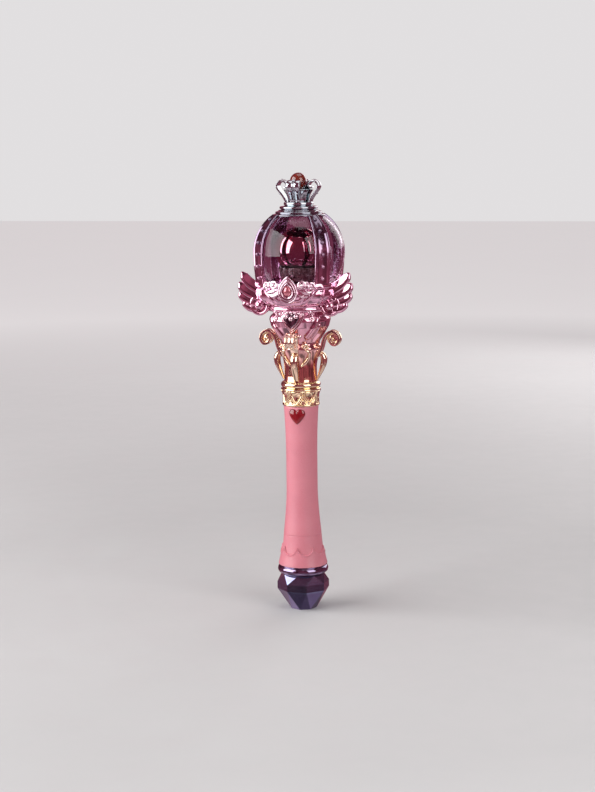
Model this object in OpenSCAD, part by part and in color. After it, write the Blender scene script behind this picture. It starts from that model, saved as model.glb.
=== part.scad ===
// Toy magic wand that lights up. Millimetres, +Z up, the front faces -Y.
// The wand stands on the flat end of its gem pommel; the origin is the centre of that flat.

/* [Heights] */
// Height of the faceted pommel gem
gem_h = 27.5; // [26:0.5:29]
// Height of the ring between the gem and the cuff
pommel_ring_h = 7; // [6.5:0.5:8]
// Height of the scalloped cuff at the foot of the handle
cuff_h = 23.5; // [23:0.5:25]
// Length of the grip between the cuff and the neck collar
grip_h = 98.5; // [97:0.5:100]
// Height of the waisted neck collar
neck_h = 13.5; // [13:0.5:15]
// Height of the plain ring on top of the neck collar
collar_ring_h = 5; // [4.5:0.5:6]
// Height of the stem below the vase
stem_h = 28.5; // [28:0.5:30]
// Height of the vase between the stem and the bowl
vase_h = 26; // [25:0.5:27]
// Height of the bowl that carries the globe
bowl_h = 20.5; // [20:0.5:21.5]

/* [Head] */
// Outer radius of the clear globe
globe_r = 34; // [33.5:0.25:34.5]
// Rise of the globe from its widest level to its top
globe_rise = 31.8; // [31:0.2:32.6]
// Drop of the globe from its widest level to its lowest point, if it were closed
globe_drop = 35; // [34:0.5:36]
// Wall of the globe
globe_wall = 1.5; // [1.2:0.1:1.8]
// Radius of the mirrored ball inside the globe
light_ball_r = 17.8; // [17:0.2:18.2]
// Radius of the ball on top of the crown
finial_r = 6.2; // [5.8:0.1:6.3]
// Outer radius of the bowl at its rim
bowl_r = 33.4; // [33:0.1:33.8]
// Widest radius of the vase
vase_r = 22.6; // [22:0.2:23]
// Radius of the stem at its thinnest
stem_r = 12.2; // [12:0.1:12.6]
// Wall of the plated head casing
casing_wall = 1.6; // [1.4:0.1:1.8]
// Distance of a wing tip from the wand's axis
wing_reach = 44.5; // [43:0.5:46]

/* [Handle] */
// Radius of the grip at its thinnest
grip_r = 11.8; // [11.7:0.1:12.4]
// Radius of the grip where it meets the neck collar
grip_top_r = 13.1; // [12.9:0.1:13.4]
// Radius of the grip where it meets the cuff
grip_foot_r = 14.4; // [14.2:0.1:14.8]
// Radius of the cuff at its lower edge
cuff_r = 18.7; // [18.4:0.1:19]
// Wall of the handle shells
shell_wall = 1.3; // [1.2:0.05:1.35]
// Width of the heart button
heart_w = 12; // [11:0.5:12.5]
// Height of the heart button
heart_h = 11.4; // [10.5:0.3:11.7]
// How far the heart button is pushed in
button_travel = 0.6; // [0.4:0.1:0.7]

/* [Gem] */
// Radius of the gem at its widest corners
gem_r = 19.9; // [19.6:0.1:20.2]
// Corner radius of the gem's top
gem_top_r = 16.5; // [16:0.1:17]
// Corner radius of the flat that the wand stands on
gem_base_r = 10.3; // [10:0.1:11]

/* [Hidden] */
$fn = 48;

// Gap between a trim piece and the casing that it is glued to
glue_gap = 0.02;
// Gap round the battery door and the heart button
part_gap = 0.3;
// Clearance of a part that turns or slides in a round hole
running_gap = 0.06;

// Levels, from the foot up
z_ring = gem_h;
z_cuff = z_ring + pommel_ring_h;
z_grip = z_cuff + cuff_h;
z_neck = z_grip + grip_h;
z_collar_ring = z_neck + neck_h;
z_stem = z_collar_ring + collar_ring_h;
z_vase = z_stem + stem_h;
z_bowl = z_vase + vase_h;
z_rim = z_bowl + bowl_h;
z_globe = z_rim + 22;
z_globe_top = z_globe + globe_rise;
z_finial = z_globe_top + 20;

// Turns a piece that is drawn at the front by an angle towards +X
module around(angle) rotate([0, 0, angle]) children();

// Lays an outline drawn in the plane of X and Z, and gives it a thickness towards the front
module facing_front(back_y, depth)
    translate([0, back_y, 0]) rotate([90, 0, 0]) linear_extrude(depth) children();

// Lays an outline drawn as radius and height in the plane through the axis and the front
module standing_out(width)
    rotate([0, 0, -90]) rotate([90, 0, 0]) linear_extrude(width, center = true) children();

// Half a turned shell: the front half has negative Y
module front_half() rotate_extrude(angle = 180, start = 180) children();
module back_half() rotate_extrude(angle = 180, start = 0) children();

// Points on a circle's arc, and on a quadratic curve
function arc(centre, radius, from, to, steps) =
    [for (i = [0:steps]) let (a = from + (to - from) * i / steps) centre + radius * [cos(a), sin(a)]];
function curve(a, b, c, steps) =
    [for (i = [0:steps]) let (t = i / steps) (1 - t) ^ 2 * a + 2 * t * (1 - t) * b + t ^ 2 * c];
function reversed(list) = [for (i = [len(list) - 1:-1:0]) list[i]];

// A round bead
module pearl(r) sphere(r = r, $fn = 24);

// A volute: points on a spiral about a centre
function spiral(centre, r0, r1, from, to, steps) =
    [for (i = [0:steps]) let (t = i / steps, a = from + (to - from) * t)
        centre + (r0 + (r1 - r0) * t) * [cos(a), sin(a)]];

// Outline of a ribbon of even thickness along a path
function unit(v) = v / norm(v);
function heading(path, i) = unit(path[min(i + 1, len(path) - 1)] - path[max(i - 1, 0)]);
function side_points(path, half) =
    [for (i = [0:len(path) - 1]) let (h = heading(path, i)) path[i] + half * [-h[1], h[0]]];
function ribbon(path, thickness) =
    concat(side_points(path, thickness / 2), reversed(side_points(path, -thickness / 2)));

// A round wire swept along points in space, with closed ends
wire_sides = 8;
wire_step = 360 / wire_sides;
function across(dir) = unit(cross(dir, abs(dir[2]) < 0.9 ? [0, 0, 1] : [1, 0, 0]));
function wire_ring(path, i, radius) =
    let (dir = heading(path, i), u = across(dir), v = cross(dir, u))
    [for (k = [0:wire_sides - 1]) path[i] + radius * (cos(k * wire_step) * u + sin(k * wire_step) * v)];
module wire(path, radius) {
    n = len(path);
    m = wire_sides;
    points = [for (i = [0:n - 1]) each wire_ring(path, i, radius)];
    walls = [for (i = [0:n - 2], k = [0:m - 1])
        [i * m + k, (i + 1) * m + k, (i + 1) * m + (k + 1) % m, i * m + (k + 1) % m]];
    ends = [[for (k = [0:m - 1]) k], [for (k = [m - 1:-1:0]) (n - 1) * m + k]];
    polyhedron(points, concat(walls, ends), convexity = 6);
}

// ---- Globe and crown ----

// Outline of the globe as radius and height, grown outwards by a margin; tilt is measured from the top
function globe_point(tilt, grow) =
    [(globe_r + grow) * sin(tilt), z_globe + ((tilt < 90 ? globe_rise : globe_drop) + grow) * cos(tilt)];
function globe_line(from, to, grow, steps) =
    [for (i = [0:steps]) globe_point(from + (to - from) * i / steps, grow)];
globe_open_top = 15;
globe_open_foot = 131.8;

module globe_wall_outline() {
    outer = globe_line(globe_open_top, globe_open_foot, 0, 26);
    inner = globe_line(globe_open_top, globe_open_foot, -globe_wall, 26);
    polygon(concat(outer, reversed(inner)));
}
module globe_front() color([0.88, 0.84, 0.92, 0.35]) front_half() globe_wall_outline();
module globe_back() color([0.88, 0.84, 0.92, 0.35]) back_half() globe_wall_outline();

// The collar's underside follows the globe; its plug fills the globe's top hole
collar_foot_r = 19.4;
collar_h = 10.5;
cup_stem_r = 3;
finial_peg_r = 2;
collar_tilt = asin(collar_foot_r / (globe_r + glue_gap));
z_collar = globe_line(collar_tilt, collar_tilt, glue_gap, 1)[0][1];
module crown_collar() {
    seat = globe_line(globe_open_top + 0.5, collar_tilt, glue_gap, 6);
    plug_r = globe_point(globe_open_top, -globe_wall)[0] - 0.2;
    plug_z = z_globe_top - 4;
    steps = [[collar_foot_r + 0.4, 0.7], [15.8, 3.4], [15.5, 4.2], [13.2, 4.7], [13.9, 5.1], [13.9, 7.2],
        [10.2, 7.7], [11, 8.2], [11, 10], [10.4, collar_h]];
    color([0.24, 0.22, 0.27]) difference() {
        rotate_extrude() polygon(concat([[0, plug_z], [plug_r, plug_z], [plug_r, z_globe_top - 0.7]],
            seat, [for (p = steps) [p[0], z_collar + p[1]]], [[0, z_collar + collar_h]]));
        translate([0, 0, z_globe_top - 0.5]) cylinder(r = cup_stem_r + 0.05, h = 10);
    }
}

// Cup: a flared bell with a stem into the collar and a socket for the finial's peg
module crown_cup() {
    z0 = z_collar + collar_h + glue_gap;
    bell = curve([7.8, z0], [8.2, z0 + 5], [11.2, z0 + 9], 8);
    hollow = reversed(curve([6.4, z0 + 2.5], [7, z0 + 5.5], [10, z0 + 9], 8));
    color([0.27, 0.24, 0.3]) difference() {
        union() {
            rotate_extrude() polygon(concat([[0, z0]], bell, hollow, [[0, z0 + 2.5]]));
            translate([0, 0, z0 - 4]) cylinder(r = cup_stem_r, h = 8);
            translate([0, 0, z0 + 3]) cylinder(r = 4.6, h = 5.4);
        }
        translate([0, 0, z0 + 4]) cylinder(r = finial_peg_r + 0.05, h = 6);
    }
}
module finial_ball() {
    color([0.62, 0.16, 0.07]) {
        translate([0, 0, z_finial]) sphere(r = finial_r);
        translate([0, 0, z_globe_top + 9]) cylinder(r = finial_peg_r, h = 8);
    }
}

// A prong leaves the collar, flares outwards and rolls over its own top
prong_w = 10;
module crown_prong() {
    z0 = z_globe_top + 1.4;
    foot = z_collar + collar_h + 2 * glue_gap;
    flare = concat([[9.3, foot]], curve([9.3, foot + 0.7], [10.4, z0 + 8], [15, z0 + 13], 8));
    roll = spiral([12.1, z0 + 15.2], 3.6, 2.9, -28, 165, 12);
    tail = curve(roll[12], [8.8, z0 + 14.4], [10.4, z0 + 13.8], 4);
    path = concat(flare, roll, [for (i = [1:4]) tail[i]]);
    color([0.3, 0.28, 0.33]) intersection() {
        standing_out(prong_w) polygon(ribbon(path, 1.5));
        facing_front(0, 30) polygon([[-3.8, z0], [3.8, z0], [prong_w / 2, z0 + 12],
            [prong_w / 2, z0 + 22], [-prong_w / 2, z0 + 22], [-prong_w / 2, z0 + 12]]);
    }
}
module crown_prong_front() crown_prong();
module crown_prong_back() around(180) crown_prong();
module crown_prong_left() around(-90) crown_prong();
module crown_prong_right() around(90) crown_prong();

// A rib hugs the globe down to its widest level and runs on to the bowl's rim
rib_angle = 21;
rib_rim_angle = 3;
rib_t = 1.4;
rib_rim_t = 0.6;
// Tilt of each upper bead from the top, and depth of each lower bead below the globe's widest level
rib_bead_r = 1.1;
rib_bead_tilts = [43, 61, 76.5, 89.5];
rib_bead_drops = [9.7, 18.4];
function rib_line(grow) =
    concat(globe_line(36, 90, grow, 14), [[globe_r + grow - 0.25, z_globe - 8],
        [globe_r + grow - 0.85, z_globe - 15], [globe_r + grow - 1.7, z_rim + glue_gap]]);
module rib_wedge(angle, from, grow) {
    rotate([0, 0, -90 - angle / 2]) rotate_extrude(angle = angle)
        polygon(concat(rib_line(grow), reversed(rib_line(from))));
}
module globe_rib() {
    edge = (rib_angle - rib_rim_angle) / 2;
    color([0.5, 0.42, 0.52]) {
        rib_wedge(rib_angle, 0.05, rib_t);
        for (s = [-1, 1]) around(s * edge) rib_wedge(rib_rim_angle, rib_t - 0.1, rib_t + rib_rim_t);
        for (tilt = rib_bead_tilts) let (p = globe_point(tilt, rib_t))
            translate([0, -p[0], p[1]]) pearl(rib_bead_r);
        for (drop = rib_bead_drops)
            translate([0, -(globe_r + rib_t - 0.004 * drop * drop), z_globe - drop]) pearl(rib_bead_r);
    }
}
module globe_rib_front_left() around(-45) globe_rib();
module globe_rib_front_right() around(45) globe_rib();
module globe_rib_back_left() around(-135) globe_rib();
module globe_rib_back_right() around(135) globe_rib();

// ---- Lamp inside the globe ----

z_floor = z_rim - 3.2;
floor_t = 1.8;
z_light_ball = z_globe + 0.5;
seat_r = 6.8;
seat_t = 1.2;
ball_wall = 1.2;
ball_hole_r = 6;
module light_ball() {
    color([0.62, 0.04, 0.08]) translate([0, 0, z_light_ball]) difference() {
        sphere(r = light_ball_r, $fn = 64);
        sphere(r = light_ball_r - ball_wall, $fn = 64);
        translate([0, 0, -light_ball_r - 1]) cylinder(r = ball_hole_r, h = 6);
    }
}
module light_cup() {
    z0 = z_floor + floor_t;
    z_seat = z_light_ball - sqrt(light_ball_r ^ 2 - seat_r ^ 2) - 0.02;
    outer = curve([9.5, z0], [15.4, z0 + 2.5], [15.4, z_globe - 11.6], 10);
    inner = reversed(curve([8.9, z0 + 1.2], [14.2, z0 + 3.4], [14.3, z_globe - 11.6], 10));
    color([0.42, 0.26, 0.22, 0.6]) rotate_extrude() {
        polygon(concat([[seat_r, z0]], outer, inner, [[seat_r, z0 + seat_t]]));
        translate([seat_r, z0]) square([seat_t, z_seat - z0]);
    }
}
module globe_floor() {
    color([0.5, 0.4, 0.5]) difference() {
        translate([0, 0, z_floor]) cylinder(r = bowl_r - casing_wall - 0.1, h = floor_t);
        translate([0, 0, z_floor - 1]) cylinder(r = 6.5, h = floor_t + 2);
    }
}
module lamp_board() {
    color([0.1, 0.4, 0.2]) difference() {
        translate([0, 0, z_floor - 1.6]) cylinder(r = 9, h = 1.6);
        for (x = [-7, 7]) translate([x, 0, z_floor - 3]) cylinder(r = 0.8, h = 4, $fn = 24);
    }
}
// Three lamps in a ring shine up into the ball
lamp_r = 2.2;
lamp_h = 4;
module lamps() {
    color([0.95, 0.95, 0.9, 0.7]) for (a = [0, 120, 240]) around(a) translate([0, -3.2, z_floor]) {
        cylinder(r = lamp_r, h = lamp_h);
        translate([0, 0, lamp_h]) intersection() {
            sphere(r = lamp_r, $fn = 32);
            cylinder(r = lamp_r + 1, h = lamp_r + 1);
        }
    }
}
// Leads from the lamp board down the hollow stem to the circuit board
lead_r = 0.6;
module lamp_leads() {
    top = z_floor - 1.65;
    for (s = [-1, 1]) color(s < 0 ? "firebrick" : "black")
        wire([[s * 6, 2, top], [s * 6, 2, top - 5], [s * 5, 2.5, top - 18], [s * 3.2, 3, z_vase + 8],
            [s * 2.6, 3, z_vase - 8], [s * 2.4, 2.5, z_stem + 4], [s * 2.4, 1.5, z_neck + 6],
            [s * 2.4, 0.6, z_neck - 1.5], [s * 2.4, 0, z_neck - 6]], lead_r);
}

// ---- Head casing: bowl, vase and stem ----

// Outline of the casing's outside, from the stem's foot to the bowl's rim
function casing_line(grow) = [for (p = concat(
        [[stem_r + 0.4, z_stem], [stem_r, z_stem + 4]],
        curve([stem_r, z_stem + 10], [stem_r + 0.2, z_stem + 17], [16.2, z_stem + 24.5], 6),
        [[16.2, z_stem + 26], [14.6, z_vase]],
        curve([14.6, z_vase + 1.5], [17.5, z_vase + 6], [21.4, z_vase + 13], 5),
        arc([vase_r - 5, z_vase + 18], 5, -10, 70, 5),
        [[21, z_bowl - 1.2], [24.2, z_bowl - 1], [24.8, z_bowl + 0.8], [24.2, z_bowl + 2.6]],
        curve([25.4, z_bowl + 3.4], [bowl_r + 0.6, z_bowl + 7], [bowl_r - 0.4, z_bowl + 14.5], 8),
        [[bowl_r - 1.4, z_rim - 4.6], [bowl_r, z_rim - 3.4], [bowl_r + 0.3, z_rim - 1.6], [bowl_r, z_rim]]))
    [p[0] + grow, p[1]]];

module casing_outline() {
    outer = casing_line(0);
    inner = casing_line(-casing_wall);
    polygon(concat(outer, reversed(inner)));
}
// Solid that trim pieces are cut back to, so that they sit on the casing
module casing_form() {
    line = casing_line(glue_gap);
    rotate_extrude() polygon(concat([[0, z_stem - 0.5], [stem_r + 0.4 + glue_gap, z_stem - 0.5]], line,
        [[0, z_rim]]));
}
screw_x = 19;
screw_z = z_bowl + 8;
casing_boss_r = 3;
module casing_bosses(from_y, to_y, hole_r) {
    for (x = [-screw_x, screw_x]) translate([x, 0, screw_z]) rotate([-90, 0, 0]) translate([0, 0, from_y])
        difference() {
            cylinder(r = casing_boss_r, h = to_y - from_y, $fn = 32);
            translate([0, 0, -1]) cylinder(r = hole_r, h = to_y - from_y + 2, $fn = 32);
        }
}
casing_color = [0.85, 0.66, 0.74];
module head_casing_front() {
    color(casing_color) {
        front_half() casing_outline();
        intersection() {
            casing_bosses(-24, 0, 1.1);
            casing_inside();
        }
    }
}
module head_casing_back() {
    color(casing_color) difference() {
        union() {
            back_half() casing_outline();
            intersection() {
                casing_bosses(0.02, 24, 1.5);
                casing_inside();
            }
        }
        for (x = [-screw_x, screw_x])
            translate([x, 14, screw_z]) rotate([-90, 0, 0]) cylinder(r = 2.7, h = 20);
    }
}
// The hollow of the casing, a little larger so that the bosses join the wall
module casing_inside() {
    line = casing_line(-casing_wall + 0.3);
    rotate_extrude() polygon(concat([[0, z_stem]], line, [[0, z_rim]]));
}

// ---- Trim on the bowl ----

// A flat ring that faces the front
module scroll_ring(radius, back_y, depth) facing_front(back_y, depth) difference() {
    circle(r = radius);
    circle(r = radius * 0.5);
}
// Acanthus: on each side of the crest a band on the bowl's edge carries two scrolls and a bead
trim_r = bowl_r + 0.35;
module bowl_trim() {
    color([0.93, 0.86, 0.88]) for (s = [-1, 1]) scale([s, 1, 1]) {
        rotate([0, 0, -76]) rotate_extrude(angle = 18.5) translate([trim_r, z_rim - 3.2]) square([1.1, 3]);
        around(19.4) translate([0, 0, z_rim - 1.2]) scroll_ring(3.2, -trim_r - 0.2, 1.6);
        around(28.5) translate([0, 0, z_rim - 1.8]) scroll_ring(2.8, -trim_r - 0.2, 1.4);
        around(24.2) translate([0, -trim_r - 0.9, z_rim + 0.6]) pearl(1.2);
    }
}
module bowl_trim_front() bowl_trim();
module bowl_trim_back() around(180) bowl_trim();

// Crest: a pointed medallion in steps, with an oval jewel
crest_z = z_rim - 4;
crest_back_y = -29;
function crest_flank(w, h) = curve([w / 2, 0], [w / 2, h * 0.35], [0, h * 0.64], 8);
function crest_line(w, h) = concat(arc([0, 0], w / 2, -90, 0, 8), crest_flank(w, h),
    reversed([for (p = crest_flank(w, h)) if (p[0] > 0) [-p[0], p[1]]]), arc([0, 0], w / 2, 180, 261, 7));
module crest_plate(w, h, back_y, depth) facing_front(back_y, depth) translate([0, crest_z - h * 0.13])
    polygon(crest_line(w, h));
module crest() {
    color([0.95, 0.9, 0.92]) difference() {
        union() {
            crest_plate(15, 20, crest_back_y, 5.2);
            crest_plate(12.6, 17, crest_back_y, 5.9);
            crest_plate(10, 13.5, crest_back_y, 6.5);
        }
        casing_form();
        translate([0, 0, z_rim - 1]) cylinder(r = 31, h = 12);
        crest_plate(11.4, 15.4, -34.5, 5);
        crest_plate(6.6, 8.6, -33.78, 5);
    }
    color([0.95, 0.9, 0.92]) difference() {
        crest_plate(9.4, 12.6, -34, 1.7);
        crest_plate(6.6, 8.6, -33.78, 5);
    }
}
module crest_jewel() {
    color([0.75, 0.28, 0.3]) intersection() {
        crest_plate(6.4, 8.3, -33.8, 5);
        translate([0, -30.4, crest_z - 0.6]) sphere(r = 5.6);
    }
}
module crest_front() crest();
module crest_back() around(180) crest();
module crest_jewel_front() crest_jewel();
module crest_jewel_back() around(180) crest_jewel();

// Wing: three feathers that rise outwards from a volute
wing_y = -11;
wing_t = 3.6;
volute_x = 27.4;
volute_z = z_bowl + 2;
volute_r = 6.8;
volute_eye_r = 2.8;
module feather(root, bow_out, tip, bow_in, end)
    polygon(concat(curve(root, bow_out, tip, 10), curve(tip, bow_in, end, 10)));
module wing() {
    x = volute_x;
    z = volute_z;
    color([0.8, 0.55, 0.66]) difference() {
        union() {
            facing_front(wing_y, wing_t) {
                feather([x - 1, z + 7], [x + 11, z + 11], [wing_reach - 2, z + 26.5],
                    [x + 6, z + 21], [x - 3, z + 14]);
                feather([x, z + 4], [x + 17, z + 8], [wing_reach, z + 19], [x + 8, z + 15], [x - 2, z + 9]);
                feather([x + 2, z - 1], [wing_reach + 3, z], [wing_reach - 3, z + 10],
                    [x + 10, z + 8], [x, z + 6]);
            }
            facing_front(wing_y + 0.6, wing_t + 1.2) translate([x, z]) circle(r = volute_r);
            translate([x, 0, z]) scroll_ring(volute_r - 0.6, wing_y - 1, wing_t + 1.4);
            translate([x, wing_y - wing_t, z]) sphere(r = volute_eye_r, $fn = 32);
            translate([x + 9, wing_y - wing_t, z + 2.6]) pearl(1.2);
        }
        casing_form();
    }
}
module wing_left() mirror([1, 0, 0]) wing();
module wing_right() wing();

// ---- Trim on the vase ----

// Right half of a heart from its point up the flank, round the lobe and down to the notch
function heart_half(w, h) =
    let (r = w * 0.27, lobe = [w / 2 - r, h / 2 - r], flank = lobe + r * [cos(22), -sin(22)])
    concat(curve([0, -h / 2], [w * 0.36, -h * 0.2], flank, 6),
        [for (a = [0:10:acos(-lobe[0] / r)]) lobe + r * [cos(a), sin(a)]],
        [[0, lobe[1] + sqrt(r ^ 2 - lobe[0] ^ 2)]]);
// Whole heart of any width and height, centred
function heart_line(w, h) = let (half = heart_half(w, h), n = len(half))
    concat(half, [for (i = [n - 2:-1:1]) [-half[i][0], half[i][1]]]);

cameo_z = z_vase + 18.6;
module cameo_plate(w, h, back_y, depth) facing_front(back_y, depth) translate([0, cameo_z])
    polygon(heart_line(w, h));
module cameo_frame() {
    color([0.9, 0.78, 0.78]) difference() {
        union() {
            cameo_plate(19, 18.6, -14, 9.4);
            cameo_plate(16.4, 16, -14, 10.4);
            cameo_plate(13.6, 13.2, -14, 11.2);
        }
        cameo_plate(11.6, 11.2, -23.4, 5);
        casing_form();
    }
}
module cameo_mirror() color([0.3, 0.26, 0.3]) cameo_plate(11.4, 11, -23.42, 1.1);
module cameo_pearls() {
    color([0.95, 0.9, 0.9]) {
        for (x = [-8.4, -5.6, -2.8, 0, 2.8, 5.6, 8.4])
            translate([x, -24.8, z_bowl - 0.2 - 0.04 * x * x]) pearl(1.25);
        for (p = [[-3.6, -4], [0, -5.6], [3.6, -4]]) translate([p[0], -26.2, z_bowl + p[1]]) pearl(1.6);
    }
}
module cameo_frame_front() cameo_frame();
module cameo_frame_back() around(180) cameo_frame();
module cameo_mirror_front() cameo_mirror();
module cameo_mirror_back() around(180) cameo_mirror();
module cameo_pearls_front() cameo_pearls();
module cameo_pearls_back() around(180) cameo_pearls();

// ---- Trim on the stem ----

// Lyre: a raised U with curled ends, open in the middle for the front bracket
module lyre() {
    arm = concat(curve([8.2, z_stem + 27], [10.4, z_stem + 20], [8.2, z_stem + 16.5], 6),
        [for (i = [1:6]) curve([8.2, z_stem + 16.5], [6.6, z_stem + 13.5], [3.6, z_stem + 12], 6)[i]]);
    color([0.9, 0.78, 0.6]) difference() {
        for (s = [-1, 1]) scale([s, 1, 1]) {
            facing_front(-5, 11.4) polygon(ribbon(arm, 1.8));
            translate([6.6, 0, z_stem + 27.4]) scroll_ring(2.6, -11, 5.2);
        }
        casing_form();
    }
}
module lyre_front() lyre();
module lyre_back() around(180) lyre();

// Bracket: an S-scroll that rolls outwards at its top, over a horn that hooks out and tapers down
bracket_w = 6.4;
module scroll_bracket() {
    sweep = curve([11.5, z_stem + 17.5], [17.8, z_stem + 20], [18.6, z_stem + 28], 8);
    volute = spiral([24.3, z_stem + 30.2], 5.9, 1.9, 190, -215, 26);
    path = concat(sweep, [for (i = [1:26]) volute[i]]);
    outer = curve([18.6, z_stem + 19.6], [22.4, z_stem + 12], [12.4, z_stem - 0.2], 10);
    inner = curve([11.5, z_stem + 2], [16.4, z_stem + 9], [12, z_stem + 18], 8);
    color([0.92, 0.8, 0.6]) difference() {
        union() {
            standing_out(bracket_w) polygon(ribbon(path, 1.9));
            standing_out(bracket_w - 1.2) polygon(concat(outer, inner));
        }
        casing_form();
    }
}
module scroll_bracket_front() scroll_bracket();
module scroll_bracket_back() around(180) scroll_bracket();
module scroll_bracket_left() around(-90) scroll_bracket();
module scroll_bracket_right() around(90) scroll_bracket();

// ---- Neck ----

spigot_r = 10.4;
module collar_ring() {
    z0 = z_collar_ring;
    h = collar_ring_h;
    color([0.9, 0.76, 0.56]) rotate_extrude()
        polygon(concat([[spigot_r + 0.05, z0 + glue_gap], [13.6, z0 + glue_gap]],
            arc([13, z0 + h / 2], h / 2 - 0.3, -60, 60, 8),
            [[13.2, z0 + h - 0.05], [spigot_r + 0.05, z0 + h - 0.05]]));
}
// Waisted collar with a leaf panel on each of its eight sides
leaf_half = 3.8;
module neck_collar() {
    z0 = z_neck;
    h = neck_h;
    waist = curve([14.1, z0 + 1.4], [11, z0 + h * 0.55], [14.9, z0 + h - 1.2], 10);
    color([0.86, 0.68, 0.45]) {
        rotate_extrude() polygon(concat([[spigot_r + 0.05, z0 + 0.02], [13.6, z0 + 0.02]], waist,
            [[14.5, z0 + h], [spigot_r + 0.05, z0 + h]]));
        for (i = [0:7]) around(i * 45) facing_front(-11.4, 3)
            polygon([[-leaf_half, z0 + h - 2], [leaf_half, z0 + h - 2], [leaf_half, z0 + h * 0.45],
                [0, z0 + 1], [-leaf_half, z0 + h * 0.45]]);
    }
}

// ---- Handle ----

// Radius of the grip: even in the middle, opening towards both ends
grip_low = z_grip + 34;
grip_high = z_grip + 60;
function grip_radius(z) =
    z > grip_high ? grip_r + (grip_top_r - grip_r) * ((z - grip_high) / (z_neck - grip_high)) ^ 2
    : z < grip_low ? grip_r + (grip_foot_r - grip_r) * ((grip_low - z) / (grip_low - z_grip)) ^ 1.5
    : grip_r;
function grip_line(grow) = concat(
    [for (i = [0:8]) let (z = z_grip + (grip_low - z_grip) * i / 8) [grip_radius(z) + grow, z]],
    [for (i = [0:8]) let (z = grip_high + (z_neck - grip_high) * i / 8) [grip_radius(z) + grow, z]]);

foot_spigot_r = 12.9;
z_spigot_foot = z_grip - 14;
z_spigot_top = z_stem + 8;
// Outline of the hollow inside the grip
function hollow_line(grow) = concat([[foot_spigot_r - shell_wall + grow, z_grip + 1.5]],
    [for (p = grip_line(-shell_wall + grow)) if (p[1] > z_grip + 2 && p[1] < z_neck - 2) p]);
module shell_outline() {
    outer = concat([[foot_spigot_r, z_spigot_foot], [foot_spigot_r, z_grip]], grip_line(0),
        [[spigot_r, z_neck], [spigot_r, z_spigot_top]]);
    inner = concat([[foot_spigot_r - shell_wall, z_spigot_foot]], hollow_line(0),
        [[grip_top_r - shell_wall - 0.3, z_neck - 1.5], [spigot_r - shell_wall, z_neck - 1.2],
        [spigot_r - shell_wall, z_spigot_top]]);
    polygon(concat(outer, reversed(inner)));
}
module grip_inside(gap) {
    line = hollow_line(-gap);
    rotate_extrude() polygon(concat([[0, line[0][1]]], line, [[0, line[len(line) - 1][1]]]));
}

// Middle of the heart button, and of the screw that joins the shells
button_z = z_neck - 7.5;
shell_screw_z = z_grip + 69;
boss_len = grip_r - shell_wall + 0.4;
boss_r = 2.6;
handle_color = [0.9, 0.42, 0.5];
module heart_prism(grow, back_y, depth) facing_front(back_y, depth) translate([0, button_z])
    polygon(heart_line(heart_w + 2 * grow, heart_h + 2 * grow));
module handle_front_shell() {
    color(handle_color) {
        difference() {
            front_half() shell_outline();
            heart_prism(0.2, -4, 12);
        }
        around(180) translate([0, 0.01, shell_screw_z]) rotate([-90, 0, 0]) difference() {
            cylinder(r = boss_r, h = boss_len + 0.3);
            translate([0, 0, -1]) cylinder(r = 0.85, h = 9);
        }
    }
}

// Door opening in the back shell, wide enough for the cells to come out
door_half_w = 10.4;
z_door_low = z_grip + 3.5;
z_door_high = z_grip + 64;
module door_block(gap) translate([-door_half_w + gap, 1, z_door_low + gap])
    cube([2 * (door_half_w - gap), 20, z_door_high - z_door_low - 2 * gap]);
module handle_back_shell() {
    color(handle_color) difference() {
        union() {
            back_half() shell_outline();
            translate([0, 0.01, shell_screw_z]) rotate([-90, 0, 0]) cylinder(r = boss_r, h = boss_len);
        }
        door_block(0);
        translate([0, -1, shell_screw_z]) rotate([-90, 0, 0]) cylinder(r = 1.05, h = 16);
        translate([0, 7, shell_screw_z]) rotate([-90, 0, 0]) cylinder(r = 2.1, h = 10);
    }
}

// Door: the piece of the back that closes the opening, with a dished seat for its screw
door_screw_z = z_door_high - 4.6;
door_hole_r = 1.2;
module battery_door() {
    color(handle_color) difference() {
        union() {
            intersection() {
                back_half() polygon(concat(grip_line(0), reversed(grip_line(-shell_wall))));
                door_block(part_gap);
            }
            intersection() {
                translate([0, 7.2, door_screw_z]) rotate([-90, 0, 0]) cylinder(r = 3.2, h = 4);
                grip_inside(-0.3);
            }
        }
        translate([0, 0, door_screw_z]) rotate([-90, 0, 0]) cylinder(r = door_hole_r, h = 16);
        translate([0, 8.9, door_screw_z]) rotate([-90, 0, 0]) cylinder(r = 2.2, h = 8);
    }
}
// Cross-head screw, drawn with its axis along Y and its head outwards
module screw(shaft_r, head_r, length, head_h) rotate([-90, 0, 0]) difference() {
    union() {
        translate([0, 0, -length]) cylinder(r = shaft_r, h = length, $fn = 32);
        cylinder(r = head_r, h = head_h, $fn = 32);
    }
    for (a = [0, 90]) rotate([0, 0, a])
        translate([-head_r * 0.6, -0.25, head_h - 0.7]) cube([head_r * 1.2, 0.5, 1]);
}
module battery_door_screw() color("silver") translate([0, 8.96, door_screw_z])
    screw(door_hole_r - running_gap, 2, 7.5, 1.3);
module case_screws() {
    color("silver") {
        translate([0, 7.02, shell_screw_z]) screw(0.8, 1.9, 13.4, 1.4);
        for (x = [-screw_x, screw_x]) translate([x, 14.02, screw_z]) screw(1.05, 2.4, 24, 1.8);
    }
}

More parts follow.
